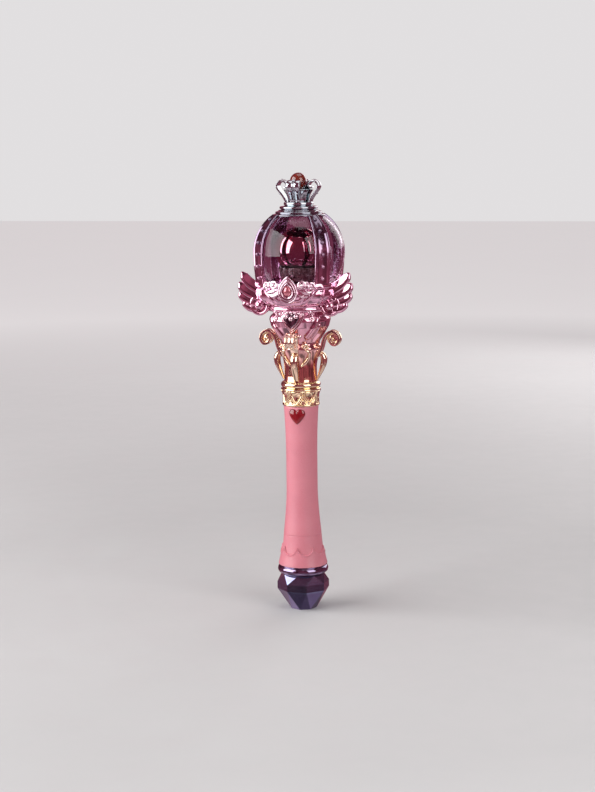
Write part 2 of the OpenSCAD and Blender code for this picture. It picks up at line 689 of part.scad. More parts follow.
// Heart button: a domed heart with a flange inside the shell and a stem to the switch
board_y = -1.2;
board_t = 1.6;
board_w = 15;
switch_y = board_y - board_t - 3.2;
plunger_r = 1.7;
plunger_out = 0.9;
flange_y = -7.8;
heart_dome_r = 17;
heart_stem_r = 1.8;
module heart_button() {
    tip = grip_radius(button_z) + 1.4;
    color([0.62, 0.03, 0.06]) {
        intersection() {
            heart_prism(0, flange_y - 0.4, 10);
            translate([0, heart_dome_r - tip, button_z]) sphere(r = heart_dome_r, $fn = 96);
        }
        heart_prism(0.5, flange_y, 0.8);
        translate([0, flange_y, button_z]) rotate([-90, 0, 0])
            cylinder(r = heart_stem_r, h = switch_y - plunger_out - flange_y);
    }
}
module switch_plunger() color("black") translate([0, switch_y - plunger_out + 0.01, button_z])
    rotate([-90, 0, 0]) cylinder(r = plunger_r, h = 2.2);
module switch_body() {
    color([0.2, 0.2, 0.22]) difference() {
        translate([-3, switch_y, button_z - 3]) cube([6, 3.18, 6]);
        translate([0, switch_y - 1, button_z]) rotate([-90, 0, 0])
            cylinder(r = plunger_r + running_gap, h = 3.1);
    }
}
module circuit_board() {
    color([0.1, 0.42, 0.22]) translate([-board_w / 2, board_y - board_t, shell_screw_z + 4])
        cube([board_w, board_t, z_neck - shell_screw_z - 5]);
    color("black") translate([0, board_y - 0.01, button_z - 6]) rotate([-90, 0, 0])
        cylinder(r = 3, h = 1.2);
}

// ---- Battery compartment ----

cell_r = 5.15;
cell_len = 44.5;
cell_x = 5.2;
nub_h = 0.8;
z_contact_low = z_grip + 5.4;
z_contact_high = z_contact_low + 49.7;
tray_wall = 1.4;
tray_w = 24;
tray_depth = 11.5;
tray_y = -7.2;
module battery_tray() {
    low = z_contact_low - 0.4 - tray_wall;
    high = z_contact_high + 0.4;
    color([0.25, 0.25, 0.27]) difference() {
        intersection() {
            union() {
                translate([-tray_w / 2, tray_y, low]) cube([tray_w, 1.6, high - low + 7.5]);
                translate([-tray_w / 2, tray_y, low]) cube([tray_w, tray_depth, tray_wall]);
                translate([-tray_w / 2, tray_y, high]) cube([tray_w, tray_depth, tray_wall]);
                translate([0, tray_y, door_screw_z]) rotate([-90, 0, 0]) cylinder(r = 3, h = 14.1);
            }
            grip_inside(0.05);
        }
        translate([0, -4, door_screw_z]) rotate([-90, 0, 0])
            cylinder(r = door_hole_r - running_gap + 0.04, h = 20);
    }
}
// One cell stands on its flat end, the other on its nub
module cell(z0, up) translate([0, 0, z0 + (up ? 0 : cell_len)]) mirror([0, 0, up ? 0 : 1]) {
    cylinder(r = cell_r, h = cell_len - nub_h);
    cylinder(r = 1.9, h = cell_len);
}
spring_len = z_contact_high - z_contact_low - cell_len;
module battery_cells() {
    color("darkorange") {
        translate([-cell_x, 0, 0]) cell(z_contact_low + spring_len, true);
        translate([cell_x, 0, 0]) cell(z_contact_low, false);
    }
}
// Coil contact: a spring of even pitch between two levels
coil_turns = 3;
coil_wire = 0.3;
coil_r = 3.2;
contact_t = 0.36;
module coil(x, from_z, to_z) {
    n = 16 * coil_turns;
    rise = to_z - from_z - 2 * coil_wire;
    wire([for (i = [0:n]) let (t = i / n, a = 360 * coil_turns * t)
        [x + coil_r * cos(a), coil_r * sin(a), from_z + coil_wire + rise * t]], coil_wire);
}
module battery_contacts() {
    color("silver") {
        coil(-cell_x, z_contact_low + 0.02, z_contact_low + spring_len - 0.02);
        coil(cell_x, z_contact_high - spring_len + 0.02, z_contact_high - 0.02);
        translate([-9, -4, z_contact_low - 0.02 - contact_t]) cube([18, 8, contact_t]);
        for (s = [-1, 1]) translate([cell_x * s - 3.8, -4, z_contact_high + 0.02]) cube([7.6, 8, contact_t]);
    }
}
module battery_leads() {
    z0 = z_contact_high + 0.4 + tray_wall;
    for (s = [-1, 1]) color(s < 0 ? "firebrick" : "black")
        wire([[s * 5.6, 2, z0 + 0.1], [s * 5.8, 2, z0 + 3], [s * 5.2, 1.6, z0 + 9], [s * 5, 0.6, z0 + 14],
            [s * 5, -0.5, z0 + 18]], lead_r);
}

// ---- Cuff, ring and gem ----

// The skirt's top edge is cut into eight round lobes with points between them
skirt_z = z_cuff + 15.5;
skirt_t = 0.8;
lobe_r = 6.1;
cuff_bore_r = 11.05;
function cuff_line(grow) =
    curve([grip_foot_r + grow, z_grip], [15 + grow, z_cuff + 11], [cuff_r - skirt_t + grow, z_cuff], 10);
module handle_cuff() {
    color(handle_color) difference() {
        union() {
            rotate_extrude() polygon(concat([[0, z_grip]], cuff_line(0), [[0, z_cuff + 0.02]]));
            difference() {
                rotate_extrude()
                    polygon(concat([[0, z_grip - 0.5]], cuff_line(skirt_t), [[0, z_cuff + 0.02]]));
                translate([0, 0, skirt_z]) cylinder(r = 30, h = 20);
                for (i = [0:7]) around(22.5 + 45 * i) translate([0, -10, skirt_z]) rotate([90, 0, 0])
                    cylinder(r = lobe_r, h = 20);
            }
        }
        translate([0, 0, z_spigot_foot - 0.05]) cylinder(r = foot_spigot_r + 0.05, h = 30);
        translate([0, 0, z_cuff - 1]) cylinder(r = cuff_bore_r, h = 30);
    }
}
plug_r_foot = 11.9;
plug_bore_r = 9.6;
module pommel_ring() {
    z0 = z_ring;
    h = pommel_ring_h;
    color([0.2, 0.16, 0.27]) difference() {
        union() {
            rotate_extrude() polygon(concat([[0, z0 + glue_gap], [16.8, z0 + glue_gap]],
                arc([15.8, z0 + h * 0.48], h * 0.48, -62, 52, 12), [[cuff_r - 0.5, z0 + h], [0, z0 + h]]));
            translate([0, 0, z0]) cylinder(r = cuff_bore_r - 0.05, h = h + 6);
            translate([0, 0, z0 - 8]) cylinder(r = plug_r_foot, h = 9);
        }
        translate([0, 0, z0 - 9]) cylinder(r = plug_bore_r, h = h + 20);
    }
}
// Gem: an eight-sided crown and pavilion of triangles about a plain belt
belt_low = 0.565;
belt_high = 0.755;
module gem_level(r, z, turn) translate([0, 0, z]) rotate([0, 0, turn]) cylinder(r = r, h = 0.001, $fn = 8);
module pommel_gem() {
    color([0.23, 0.2, 0.36]) difference() {
        hull() {
            gem_level(gem_base_r, 0, 0);
            gem_level(gem_r, gem_h * belt_low, 22.5);
            gem_level(gem_r, gem_h * belt_high, 22.5);
            gem_level(gem_top_r, gem_h - 0.001, 0);
        }
        translate([0, 0, 5]) cylinder(r = 6, h = 30);
        translate([0, 0, gem_h - 9]) cylinder(r = plug_r_foot + 0.1, h = 30);
    }
}

finial_ball();
crown_cup();
crown_prong_front();
crown_prong_back();
crown_prong_left();
crown_prong_right();
crown_collar();
globe_front();
globe_back();
globe_rib_front_left();
globe_rib_front_right();
globe_rib_back_left();
globe_rib_back_right();
light_ball();
light_cup();
globe_floor();
lamp_board();
lamps();
lamp_leads();
head_casing_front();
head_casing_back();
bowl_trim_front();
bowl_trim_back();
crest_front();
crest_back();
crest_jewel_front();
crest_jewel_back();
wing_left();
wing_right();
cameo_frame_front();
cameo_frame_back();
cameo_mirror_front();
cameo_mirror_back();
cameo_pearls_front();
cameo_pearls_back();
lyre_front();
lyre_back();
scroll_bracket_front();
scroll_bracket_back();
scroll_bracket_left();
scroll_bracket_right();
collar_ring();
neck_collar();
handle_front_shell();
handle_back_shell();
heart_button();
switch_plunger();
switch_body();
circuit_board();
battery_tray();
battery_cells();
battery_contacts();
battery_leads();
battery_door();
battery_door_screw();
case_screws();
handle_cuff();
pommel_ring();
pommel_gem();
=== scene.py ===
import math

import bmesh
import bpy
import numpy as np
from mathutils import Matrix, Vector


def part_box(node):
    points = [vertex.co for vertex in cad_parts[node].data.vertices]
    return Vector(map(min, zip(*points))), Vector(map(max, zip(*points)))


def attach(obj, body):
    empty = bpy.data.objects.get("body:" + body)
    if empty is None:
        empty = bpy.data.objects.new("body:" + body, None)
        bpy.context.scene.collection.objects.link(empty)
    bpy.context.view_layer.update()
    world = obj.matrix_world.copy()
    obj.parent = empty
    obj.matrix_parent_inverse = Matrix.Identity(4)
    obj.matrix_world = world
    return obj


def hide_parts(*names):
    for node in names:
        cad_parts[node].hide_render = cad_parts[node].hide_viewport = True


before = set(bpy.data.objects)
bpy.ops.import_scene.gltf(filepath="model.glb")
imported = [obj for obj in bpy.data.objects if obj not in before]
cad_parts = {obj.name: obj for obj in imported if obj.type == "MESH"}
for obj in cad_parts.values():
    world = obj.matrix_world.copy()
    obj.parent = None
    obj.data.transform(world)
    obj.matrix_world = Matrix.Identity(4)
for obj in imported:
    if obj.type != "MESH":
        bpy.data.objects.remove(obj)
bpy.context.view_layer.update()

# All shapes below are worked out in millimetres and turned into metres when a mesh is made.
MM = 0.001


def low(node, axis=2):
    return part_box(node)[0][axis] / MM


def high(node, axis=2):
    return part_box(node)[1][axis] / MM


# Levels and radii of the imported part
Z_RING = high("pommel_gem")
Z_CUFF = low("handle_cuff")
Z_GRIP = high("handle_cuff")
Z_NECK = low("neck_collar") - 0.02
Z_COLLAR_RING = high("neck_collar")
Z_STEM = low("head_casing_front")
Z_VASE = Z_STEM + 28.5
Z_BOWL = Z_VASE + 26
Z_RIM = high("head_casing_front")
Z_GLOBE = Z_RIM + 22
GLOBE_R = high("globe_front", 0)
GLOBE_RISE, GLOBE_DROP, GLOBE_WALL = 31.8, 35.0, 1.5
Z_TOP = Z_GLOBE + GLOBE_RISE
FINIAL_R = 6.2
Z_FINIAL = high("finial_ball") - FINIAL_R
BOWL_R = 33.4

# ---------------------------------------------------------------- curves


def quad(a, b, c, n):
    a, b, c = (np.array(p, float) for p in (a, b, c))
    t = np.linspace(0, 1, n + 1)[:, None]
    return ((1 - t) ** 2 * a + 2 * t * (1 - t) * b + t**2 * c).tolist()


def arc(c, r, a0, a1, n):
    return [[c[0] + r * math.cos(a), c[1] + r * math.sin(a)] for a in np.radians(np.linspace(a0, a1, n + 1))]


def spiral(c, r0, r1, a0, a1, n):
    t = np.linspace(0, 1, n + 1)
    a = np.radians(a0 + (a1 - a0) * t)
    r = r0 + (r1 - r0) * t
    return np.stack([c[0] + r * np.cos(a), c[1] + r * np.sin(a)], 1).tolist()


def rounded(points, radius, steps=4, closed=False, limit=12):
    """The same outline with each corner turned into a small curve."""
    pts = [np.array(p, float) for p in points]
    n = len(pts)
    out = []
    for i, p in enumerate(pts):
        if not closed and i in (0, n - 1):
            out.append(p.tolist())
            continue
        a, b = pts[i - 1], pts[(i + 1) % n]
        la, lb = np.linalg.norm(a - p), np.linalg.norm(b - p)
        doubled = min(la, lb) < 1e-9
        if doubled or math.degrees(math.acos(np.clip(np.dot((p - a) / la, (b - p) / lb), -1, 1))) < limit:
            out.append(p.tolist())
            continue
        k = min(radius, 0.45 * la, 0.45 * lb)
        out += quad(p + (a - p) / la * k, p, p + (b - p) / lb * k, steps)
    return out


def smooth(points, n):
    """Catmull-Rom curve through points, in 2 or 3 dimensions, at n + 1 evenly spaced places."""
    p = np.array(points, float)
    p = np.vstack([2 * p[0] - p[1], p, 2 * p[-1] - p[-2]])
    dense = []
    for i in range(1, len(p) - 2):
        for t in np.linspace(0, 1, 24, endpoint=False):
            dense.append(0.5 * (2 * p[i] + (p[i + 1] - p[i - 1]) * t
                                + (2 * p[i - 1] - 5 * p[i] + 4 * p[i + 1] - p[i + 2]) * t**2
                                + (3 * p[i] - p[i - 1] - 3 * p[i + 1] + p[i + 2]) * t**3))
    dense.append(p[-2])
    return even(dense, n)


def even(points, n):
    """n + 1 points at even steps along a line."""
    p = np.array(points, float)
    s = np.concatenate([[0], np.cumsum(np.linalg.norm(np.diff(p, axis=0), axis=1))])
    at = np.linspace(0, s[-1], n + 1)
    return np.stack([np.interp(at, s, p[:, k]) for k in range(p.shape[1])], 1)


def above(z, points):
    """Points whose second value is a height above z."""
    return [(x, z + rise) for x, rise in points]


def ring_of(r, n, centre=(0, 0)):
    """n points round a circle."""
    return [[centre[0] + r * math.cos(a), centre[1] + r * math.sin(a)]
            for a in np.linspace(0, 2 * math.pi, n, endpoint=False)]


def along(n, at, values):
    """n values, read off a line through the values at those shares of the length."""
    return np.interp(np.linspace(0, 1, n), at, values)


def polar(a, r, z):
    """A point at angle a from the front, positive towards +X, in radians."""
    return np.stack(np.broadcast_arrays(r * np.sin(a), -r * np.cos(a), z), -1)


def turned(verts, degrees):
    c, s = math.cos(math.radians(degrees)), math.sin(math.radians(degrees))
    v = np.asarray(verts, float)
    return np.stack([c * v[:, 0] - s * v[:, 1], s * v[:, 0] + c * v[:, 1], v[:, 2]], 1)


# ---------------------------------------------------------------- solids as (vertices, faces)


def grid_faces(rows, cols, wrap_rows=False):
    """Quads between rows of points, each row a closed ring; wrapped, the last row joins the first."""
    faces = []
    for i in range(rows if wrap_rows else rows - 1):
        for j in range(cols):
            a, b = i * cols + j, i * cols + (j + 1) % cols
            c, d = ((i + 1) % rows) * cols + (j + 1) % cols, ((i + 1) % rows) * cols + j
            faces.append((a, b, c, d))
    return faces


def join(*parts):
    verts, faces, n = [], [], 0
    for v, f in parts:
        v = np.asarray(v, float)
        verts.append(v)
        faces += [tuple(i + n for i in face) for face in f]
        n += len(v)
    return np.vstack(verts), faces


def ends(rows, cols):
    """The two faces that close a grid's first and last rows."""
    return [tuple(range(cols))[::-1], tuple(range((rows - 1) * cols, rows * cols))]


def lathe(outline, segments=96, start=0.0, span=360.0):
    """Turns a closed outline of radius and height. Angles in degrees from the front."""
    o = np.array(outline, float)
    full = span == 360
    count = segments if full else segments + 1
    angles = np.radians(start + span * np.arange(count) / segments)
    verts = polar(angles[:, None], o[None, :, 0], o[None, :, 1]).reshape(-1, 3)
    m = len(o)
    on_axis = o[:, 0] < 1e-6
    faces = [f for f in grid_faces(count, m, wrap_rows=full) if not (on_axis[f[0] % m] and on_axis[f[1] % m])]
    if not full:
        faces += [face[::-1] for face in ends(count, m)]
    return verts, faces


def ball(centre, r, rings=12):
    t = np.linspace(0, math.pi, rings + 1)
    return lift(lathe([[r * math.sin(a), -r * math.cos(a)] for a in t], rings * 2), centre)


def lift(solid, offset):
    return np.asarray(solid[0]) + np.array(offset, float), solid[1]


def spin(solid, degrees):
    return turned(solid[0], degrees), solid[1]


def flip(solid):
    """Mirror image in X."""
    v = np.array(solid[0], float)
    v[:, 0] *= -1
    return v, [f[::-1] for f in solid[1]]


def both_sides(parts):
    return parts + [flip(part) for part in parts]


def sweep(path, section, up, wide, tall):
    """Carries a closed section of (side, up) points along a path; wide and tall scale it at each point."""
    p = np.array(path, float)
    n = len(p)
    tangent = np.gradient(p, axis=0)
    tangent /= np.linalg.norm(tangent, axis=1)[:, None]
    up = np.broadcast_to(np.array(up, float), p.shape)
    side = np.cross(tangent, up)
    side /= np.linalg.norm(side, axis=1)[:, None] + 1e-12
    up = np.cross(side, tangent)
    wide, tall = (np.broadcast_to(np.array(w, float), (n,)) for w in (wide, tall))
    sec = np.array(section, float)
    verts = (p[:, None] + side[:, None] * (sec[None, :, 0:1] * wide[:, None, None])
             + up[:, None] * (sec[None, :, 1:2] * tall[:, None, None])).reshape(-1, 3)
    m = len(sec)
    return verts, grid_faces(n, m) + ends(n, m)


def taper(n, start, end, power=0.5, floor=0.06):
    """Full in the middle, falling to a rounded tip over the first and last shares of the length."""
    t = np.linspace(0, 1, n)
    w = np.ones(n)
    for share, length in ((t, start), (1 - t, end)):
        if length:
            w = np.minimum(w, np.clip(share / length, 0, 1) ** power)
    return np.maximum(w, floor)


ROUND = ring_of(1.0, 16)
# A ribbon's section: bead along each edge, hollow between, with a fine ridge down the middle
RIBBON = rounded([[-1, -0.5], [1, -0.5], [1, 0.55], [0.8, 0.62], [0.7, 0.3], [0.22, 0.22], [0, 0.5],
                  [-0.22, 0.22], [-0.7, 0.3], [-0.8, 0.62], [-1, 0.55]], 0.16, 3, closed=True)
# A leaf's section: crowned with a ridge, flat below
LEAF = rounded([[-1, -0.4], [1, -0.4], [1, 0], [0.55, 0.62], [0.12, 0.7], [0, 1], [-0.12, 0.7], [-0.55, 0.62],
                [-1, 0]], 0.2, 3, closed=True)


def plaque(outline, profile, place, centre=(0, 0), back=0.0):
    """A solid over an outline: rings at shares t of its size with height h, the last of them a point."""
    c = np.array(centre, float)
    o = np.array(outline, float) - c
    m, n = len(o), len(profile)
    verts = [place(*(o * t + c).T, np.full(m, h)) for t, h in [(1.0, back)] + list(profile[:-1])]
    verts += [place(c[:1], c[1:], np.array([h])) for h in (back, profile[-1][1])]
    faces = grid_faces(n, m)
    faces += [(n * m, (j + 1) % m, j) for j in range(m)]
    faces += [(n * m + 1, (n - 1) * m + j, (n - 1) * m + (j + 1) % m) for j in range(m)]
    return np.vstack(verts), faces


def with_mirror(right):
    """A closed outline from its right half, which starts and ends on the middle line."""
    return right + [[-x, z] for x, z in right[::-1]][1:-1]


def facing(y0):
    """Places an outline of x and z on a flat that faces the front at y0, with height towards the viewer."""
    return lambda x, z, h: np.stack([x, -(y0 + h), z], -1)


# ---------------------------------------------------------------- materials


class Nodes:
    """A node tree, with short ways to add and link its nodes."""

    def __init__(self, tree, coords):
        self.tree = tree
        self.coords = self.node("ShaderNodeTexCoord").outputs[coords]

    def node(self, kind, inputs=None, **settings):
        n = self.tree.nodes.new(kind)
        for key, value in settings.items():
            setattr(n, key, value)
        for key, value in (inputs or {}).items():
            if isinstance(value, bpy.types.NodeSocket):
                self.tree.links.new(value, n.inputs[key])
            else:
                n.inputs[key].default_value = value
        return n

    def noise(self, scale, detail=3.0, rough=0.5, warp=0.0):
        return self.node("ShaderNodeTexNoise", {"Vector": self.coords, "Scale": scale, "Detail": detail,
                                                "Roughness": rough, "Distortion": warp}).outputs["Fac"]

    def spread(self, scale, detail, c, d, a=0.3, b=0.7):
        """Noise whose range from a to b is spread from c to d."""
        return self.remap(self.noise(scale, detail), a, b, c, d)

    def remap(self, value, a, b, c, d):
        return self.node("ShaderNodeMapRange", {"Value": value, "From Min": a, "From Max": b, "To Min": c,
                                                "To Max": d}).outputs["Result"]

    def axis(self, name="Z"):
        return self.node("ShaderNodeSeparateXYZ", {"Vector": self.coords}).outputs[name]

    def ramp(self, fac, stops):
        n = self.node("ShaderNodeValToRGB", {"Fac": fac})
        band = n.color_ramp.elements
        while len(band) < len(stops):
            band.new(0.5)
        for element, (at, colour) in zip(band, stops):
            element.position = at
            element.color = (*colour, 1)
        return n.outputs["Color"]

    def mix(self, fac, a, b, blend="MIX"):
        n = self.node("ShaderNodeMix", data_type="RGBA", blend_type=blend)
        for index, value in ((0, fac), (6, a), (7, b)):
            if isinstance(value, bpy.types.NodeSocket):
                self.tree.links.new(value, n.inputs[index])
            else:
                n.inputs[index].default_value = value if index == 0 else (*value, 1)
        return n.outputs[2]


class Finish(Nodes):
    """A procedural material on the Principled shader, in the piece's own coordinates."""

    def __init__(self, name, **values):
        self.material = bpy.data.materials.new(name)
        self.material.use_nodes = True
        super().__init__(self.material.node_tree, "Object")
        self.shader = self.tree.nodes["Principled BSDF"]
        for key, value in values.items():
            self.shader.inputs[key.replace("_", " ")].default_value = value

    def put(self, **sockets):
        for key, value in sockets.items():
            self.tree.links.new(value, self.shader.inputs[key.replace("_", " ")])
        return self

    def bump(self, height, distance, strength=1.0):
        n = self.node("ShaderNodeBump", {"Height": height, "Distance": distance, "Strength": strength})
        return self.put(Normal=n.outputs["Normal"])


def chrome(name, stops, rough=(0.04, 0.13), ripple=0.00004):
    """Vacuum plating: a mirror whose tint runs with height, faintly rippled like the moulding under it."""
    f = Finish(name, Metallic=1.0, Coat_Weight=0.35, Coat_Roughness=0.03)
    z0, z1 = stops[0][0], stops[-1][0]
    height = f.remap(f.axis(), z0 * MM, z1 * MM, 0.0, 1.0)
    tint = f.ramp(height, [((z - z0) / (z1 - z0), colour) for z, colour in stops])
    cloud = f.noise(260, 4, 0.55, 0.4)
    tint = f.mix(f.remap(cloud, 0.3, 0.75, 0.0, 0.22), tint, (0.42, 0.25, 0.32), "MULTIPLY")
    specks = f.noise(2600, 2, 0.6)
    f.put(Base_Color=tint, Roughness=f.remap(specks, 0.35, 0.7, *rough))
    return f.bump(f.noise(330, 2, 0.45), ripple).material


LILAC = (0.80, 0.52, 0.66)
GOLD = (0.86, 0.58, 0.36)
crown_chrome = chrome("crown_chrome", [(296, (0.24, 0.24, 0.29)), (306, (0.44, 0.50, 0.53)),
                                       (326, (0.52, 0.60, 0.62))])
rib_chrome = chrome("rib_chrome", [(248, LILAC), (266, (0.50, 0.32, 0.44)),
                                   (284, (0.27, 0.21, 0.30)), (300, (0.20, 0.18, 0.24))], rough=(0.05, 0.14))
head_chrome = chrome("head_chrome", [(172, GOLD), (192, (0.82, 0.50, 0.40)), (206, (0.80, 0.48, 0.50)),
                                     (222, (0.78, 0.48, 0.58)), (256, LILAC)])
bright_chrome = chrome("bright_chrome", [(172, (0.99, 0.88, 0.62)), (200, (0.98, 0.86, 0.66)),
                                         (212, (0.95, 0.76, 0.76)), (230, (0.94, 0.80, 0.86)),
                                         (258, (0.96, 0.86, 0.92))], rough=(0.03, 0.09))
gold_chrome = chrome("gold_chrome", [(150, (0.96, 0.82, 0.50)), (176, (0.98, 0.86, 0.54)),
                                     (200, (0.97, 0.84, 0.62))], rough=(0.04, 0.12))
ring_chrome = chrome("ring_chrome", [(20, (0.20, 0.16, 0.26)), (36, (0.28, 0.24, 0.36))], rough=(0.06, 0.14))
mirror_dark = chrome("mirror_dark", [(205, (0.30, 0.24, 0.28)), (230, (0.20, 0.17, 0.21))],
                     rough=(0.03, 0.07))


def gem_finish():
    f = Finish("gem_plating", Metallic=0.95, Coat_Weight=0.6, Coat_Roughness=0.02)
    height = f.remap(f.axis(), 0.0, 0.0275, 0.0, 1.0)
    tint = f.ramp(height, [(0.0, (0.13, 0.12, 0.25)), (0.5, (0.12, 0.11, 0.23)), (0.62, (0.17, 0.24, 0.36)),
                           (1.0, (0.24, 0.25, 0.36))])
    f.put(Base_Color=f.mix(f.spread(160, 3, 0.0, 0.4, 0.35), tint, (0.45, 0.28, 0.55), "MULTIPLY"),
          Roughness=f.spread(1800, 2, 0.03, 0.10, 0.35))
    return f.bump(f.noise(120, 2), 0.00002).material


def pink_finish():
    f = Finish("pink_plastic", IOR=1.48, Specular_IOR_Level=0.5, Coat_Weight=0.12, Coat_Roughness=0.25,
               Subsurface_Weight=0.12, Subsurface_Radius=(0.004, 0.0015, 0.0012), Subsurface_Scale=0.3)
    cloud = f.noise(35, 3, 0.5, 0.3)
    colour = f.ramp(cloud, [(0.3, (0.62, 0.19, 0.235)), (0.5, (0.66, 0.21, 0.26)),
                            (0.72, (0.70, 0.235, 0.285))])
    grain = f.noise(2400, 3, 0.6)
    f.put(Base_Color=f.mix(f.remap(grain, 0.4, 0.8, 0.0, 0.10), colour, (0.95, 0.75, 0.80)),
          Roughness=f.remap(f.noise(300, 4, 0.6), 0.3, 0.7, 0.30, 0.42))
    return f.bump(grain, 0.000012, 0.6).material


def clouded(name, stops, cloud, grain, rough, relief, depth, **values):
    """A finish whose colour, roughness and relief each follow a noise: scale, detail and so on."""
    f = Finish(name, **values)
    f.put(Base_Color=f.ramp(f.noise(*cloud), stops), Roughness=f.spread(*grain, *rough))
    return f.bump(f.noise(*relief), depth).material


def moulded(name, dark, light, rough, grain, depth, **values):
    """A moulded, painted or metal finish with clouded colour and a grain of one scale."""
    return clouded(name, [(0.3, dark), (0.7, light)], (grain * 0.2, 4, 0.6), (grain, 3), rough,
                   (grain, 3, 0.6), depth, **values)


heart_red = clouded("heart_red", [(0.3, (0.20, 0.003, 0.006)), (0.7, (0.30, 0.008, 0.012))],
                    (110, 3, 0.5, 0.6), (900, 3), (0.10, 0.20), (180, 2), 0.00003,
                    IOR=1.5, Coat_Weight=0.9, Coat_Roughness=0.03, Subsurface_Weight=0.15,
                    Subsurface_Radius=(0.004, 0.0006, 0.0006), Subsurface_Scale=0.3)
amber = clouded("amber_ball", [(0.28, (0.08, 0.005, 0.004)), (0.5, (0.14, 0.013, 0.007)),
                               (0.72, (0.22, 0.030, 0.010))],
                (120, 4, 0.55, 1.2), (800, 2), (0.06, 0.14), (200, 2), 0.00002,
                IOR=1.5, Coat_Weight=1.0, Coat_Roughness=0.02, Subsurface_Weight=0.35,
                Subsurface_Radius=(0.006, 0.0015, 0.0005), Subsurface_Scale=0.5)
rose = clouded("rose_jewel", [(0.3, (0.45, 0.10, 0.14)), (0.7, (0.78, 0.30, 0.34))],
               (240, 3, 0.5, 0.8), (900, 2), (0.05, 0.15), (300, 2), 0.00002,
               IOR=1.6, Metallic=0.55, Coat_Weight=1.0, Coat_Roughness=0.02)
# A thin wall hardly bends what is seen through it, so the gloss comes from the coat
clear = clouded("clear_globe", [(0.3, (0.91, 0.84, 0.92)), (0.7, (0.95, 0.90, 0.96))],
                (40, 2), (700, 2), (0.0, 0.02, 0.35), (60, 2), 0.00006,
                IOR=1.03, Transmission_Weight=1.0, Coat_Weight=0.6, Coat_IOR=1.45, Coat_Roughness=0.0)
steel = moulded("nickel_steel", (0.50, 0.50, 0.52), (0.68, 0.68, 0.70), (0.16, 0.32), 1600, 0.00001,
                Metallic=1.0)
black = moulded("black_plastic", (0.012, 0.012, 0.014), (0.03, 0.03, 0.034), (0.32, 0.5), 1400, 0.00002)
grey = moulded("grey_plastic", (0.05, 0.05, 0.055), (0.085, 0.085, 0.09), (0.35, 0.55), 1200, 0.00003)
lamp_clear = moulded("lamp_clear", (0.80, 0.80, 0.76), (0.92, 0.92, 0.88), (0.04, 0.1), 900, 0.00001,
                     Transmission_Weight=0.7, IOR=1.5)


def red_mirror():
    f = Finish("red_mirror", Metallic=1.0, Coat_Weight=1.0, Coat_IOR=3.4, Coat_Roughness=0.0,
               Specular_Tint=(0.5, 0.1, 0.2, 1))
    # The ball's red plating runs to mauve at the bottom; the darker red at its top is painted shade, as from
    # the crown collar above it
    height = f.remap(f.axis(), 0.255, 0.290, 0.0, 1.0)
    tint = f.ramp(height, [(0.0, (0.42, 0.10, 0.26)), (0.35, (0.46, 0.06, 0.16)), (0.7, (0.60, 0.03, 0.06)),
                           (1.0, (0.35, 0.01, 0.03))])
    f.put(Base_Color=f.mix(f.spread(140, 3, 0.0, 0.25), tint, (0.5, 0.3, 0.45), "MULTIPLY"),
          Roughness=f.spread(1500, 2, 0.02, 0.07, 0.35))
    return f.bump(f.noise(90, 2), 0.00002).material


def smoky_finish():
    f = Finish("smoky_cup", IOR=1.48, Transmission_Weight=0.25, Coat_Weight=0.5, Coat_Roughness=0.08)
    specks = f.node("ShaderNodeTexVoronoi", {"Vector": f.coords, "Scale": 900.0}).outputs["Distance"]
    base = f.ramp(f.noise(220, 4, 0.6), [(0.3, (0.13, 0.055, 0.06)), (0.7, (0.24, 0.11, 0.12))])
    f.put(Base_Color=f.mix(f.remap(specks, 0.0, 0.22, 0.75, 0.0), base, (0.85, 0.66, 0.66)),
          Roughness=f.spread(500, 3, 0.15, 0.4))
    return f.bump(specks, 0.00004, 0.5).material


def lead_finish():
    f = Finish("lead_insulation", IOR=1.5)
    side = f.remap(f.axis("X"), -0.0002, 0.0002, 0.0, 1.0)
    colour = f.ramp(side, [(0.0, (0.50, 0.03, 0.03)), (1.0, (0.03, 0.03, 0.035))])
    cloud = f.noise(400, 3)
    f.put(Base_Color=f.mix(f.remap(cloud, 0.3, 0.8, 0.0, 0.2), colour, (0.6, 0.6, 0.6), "MULTIPLY"),
          Roughness=f.remap(cloud, 0.3, 0.7, 0.35, 0.55))
    return f.bump(f.noise(1500, 2), 0.00001).material


def cell_finish():
    """A battery jacket: copper-orange band at the nub end, black film below, steel at both ends."""
    f = Finish("cell_jacket", Metallic=0.35, Coat_Weight=0.5, Coat_Roughness=0.12)
    low_z, high_z = low("battery_cells") * MM, high("battery_cells") * MM
    height = f.remap(f.axis(), low_z, high_z, 0.0, 1.0)
    film = (0.02, 0.02, 0.022)
    band = f.ramp(height, [(0.0, (0.60, 0.60, 0.58)), (0.03, film), (0.62, film), (0.64, (0.62, 0.26, 0.05)),
                           (0.93, (0.66, 0.30, 0.06)), (0.95, (0.62, 0.62, 0.60))])
    f.put(Base_Color=f.mix(f.spread(500, 3, 0.0, 0.25, 0.3, 0.8), band, (0.6, 0.5, 0.5), "MULTIPLY"),
          Roughness=f.spread(700, 3, 0.18, 0.32))
    return f.bump(f.noise(900, 2), 0.00001).material


def board_finish():
    f = Finish("circuit_board", IOR=1.5, Coat_Weight=0.3, Coat_Roughness=0.2)
    tracks = f.node("ShaderNodeTexBrick", {"Vector": f.coords, "Scale": 260.0, "Mortar Size": 0.03,
                                           "Color1": (0.02, 0.13, 0.05, 1), "Color2": (0.025, 0.16, 0.06, 1),
                                           "Mortar": (0.10, 0.30, 0.12, 1)}).outputs["Color"]
    f.put(Base_Color=f.mix(f.spread(600, 3, 0.0, 0.3, 0.3, 0.8), tracks, (0.5, 0.7, 0.5), "MULTIPLY"),
          Roughness=f.spread(900, 2, 0.25, 0.45))
    return f.bump(f.noise(1200, 2), 0.00002).material


gem_plating = gem_finish()
pink = pink_finish()
ball_red = red_mirror()
smoky = smoky_finish()

# ---------------------------------------------------------------- pieces


MERGE, SLIVER = 0.0005 * MM, 0.0002 * MM


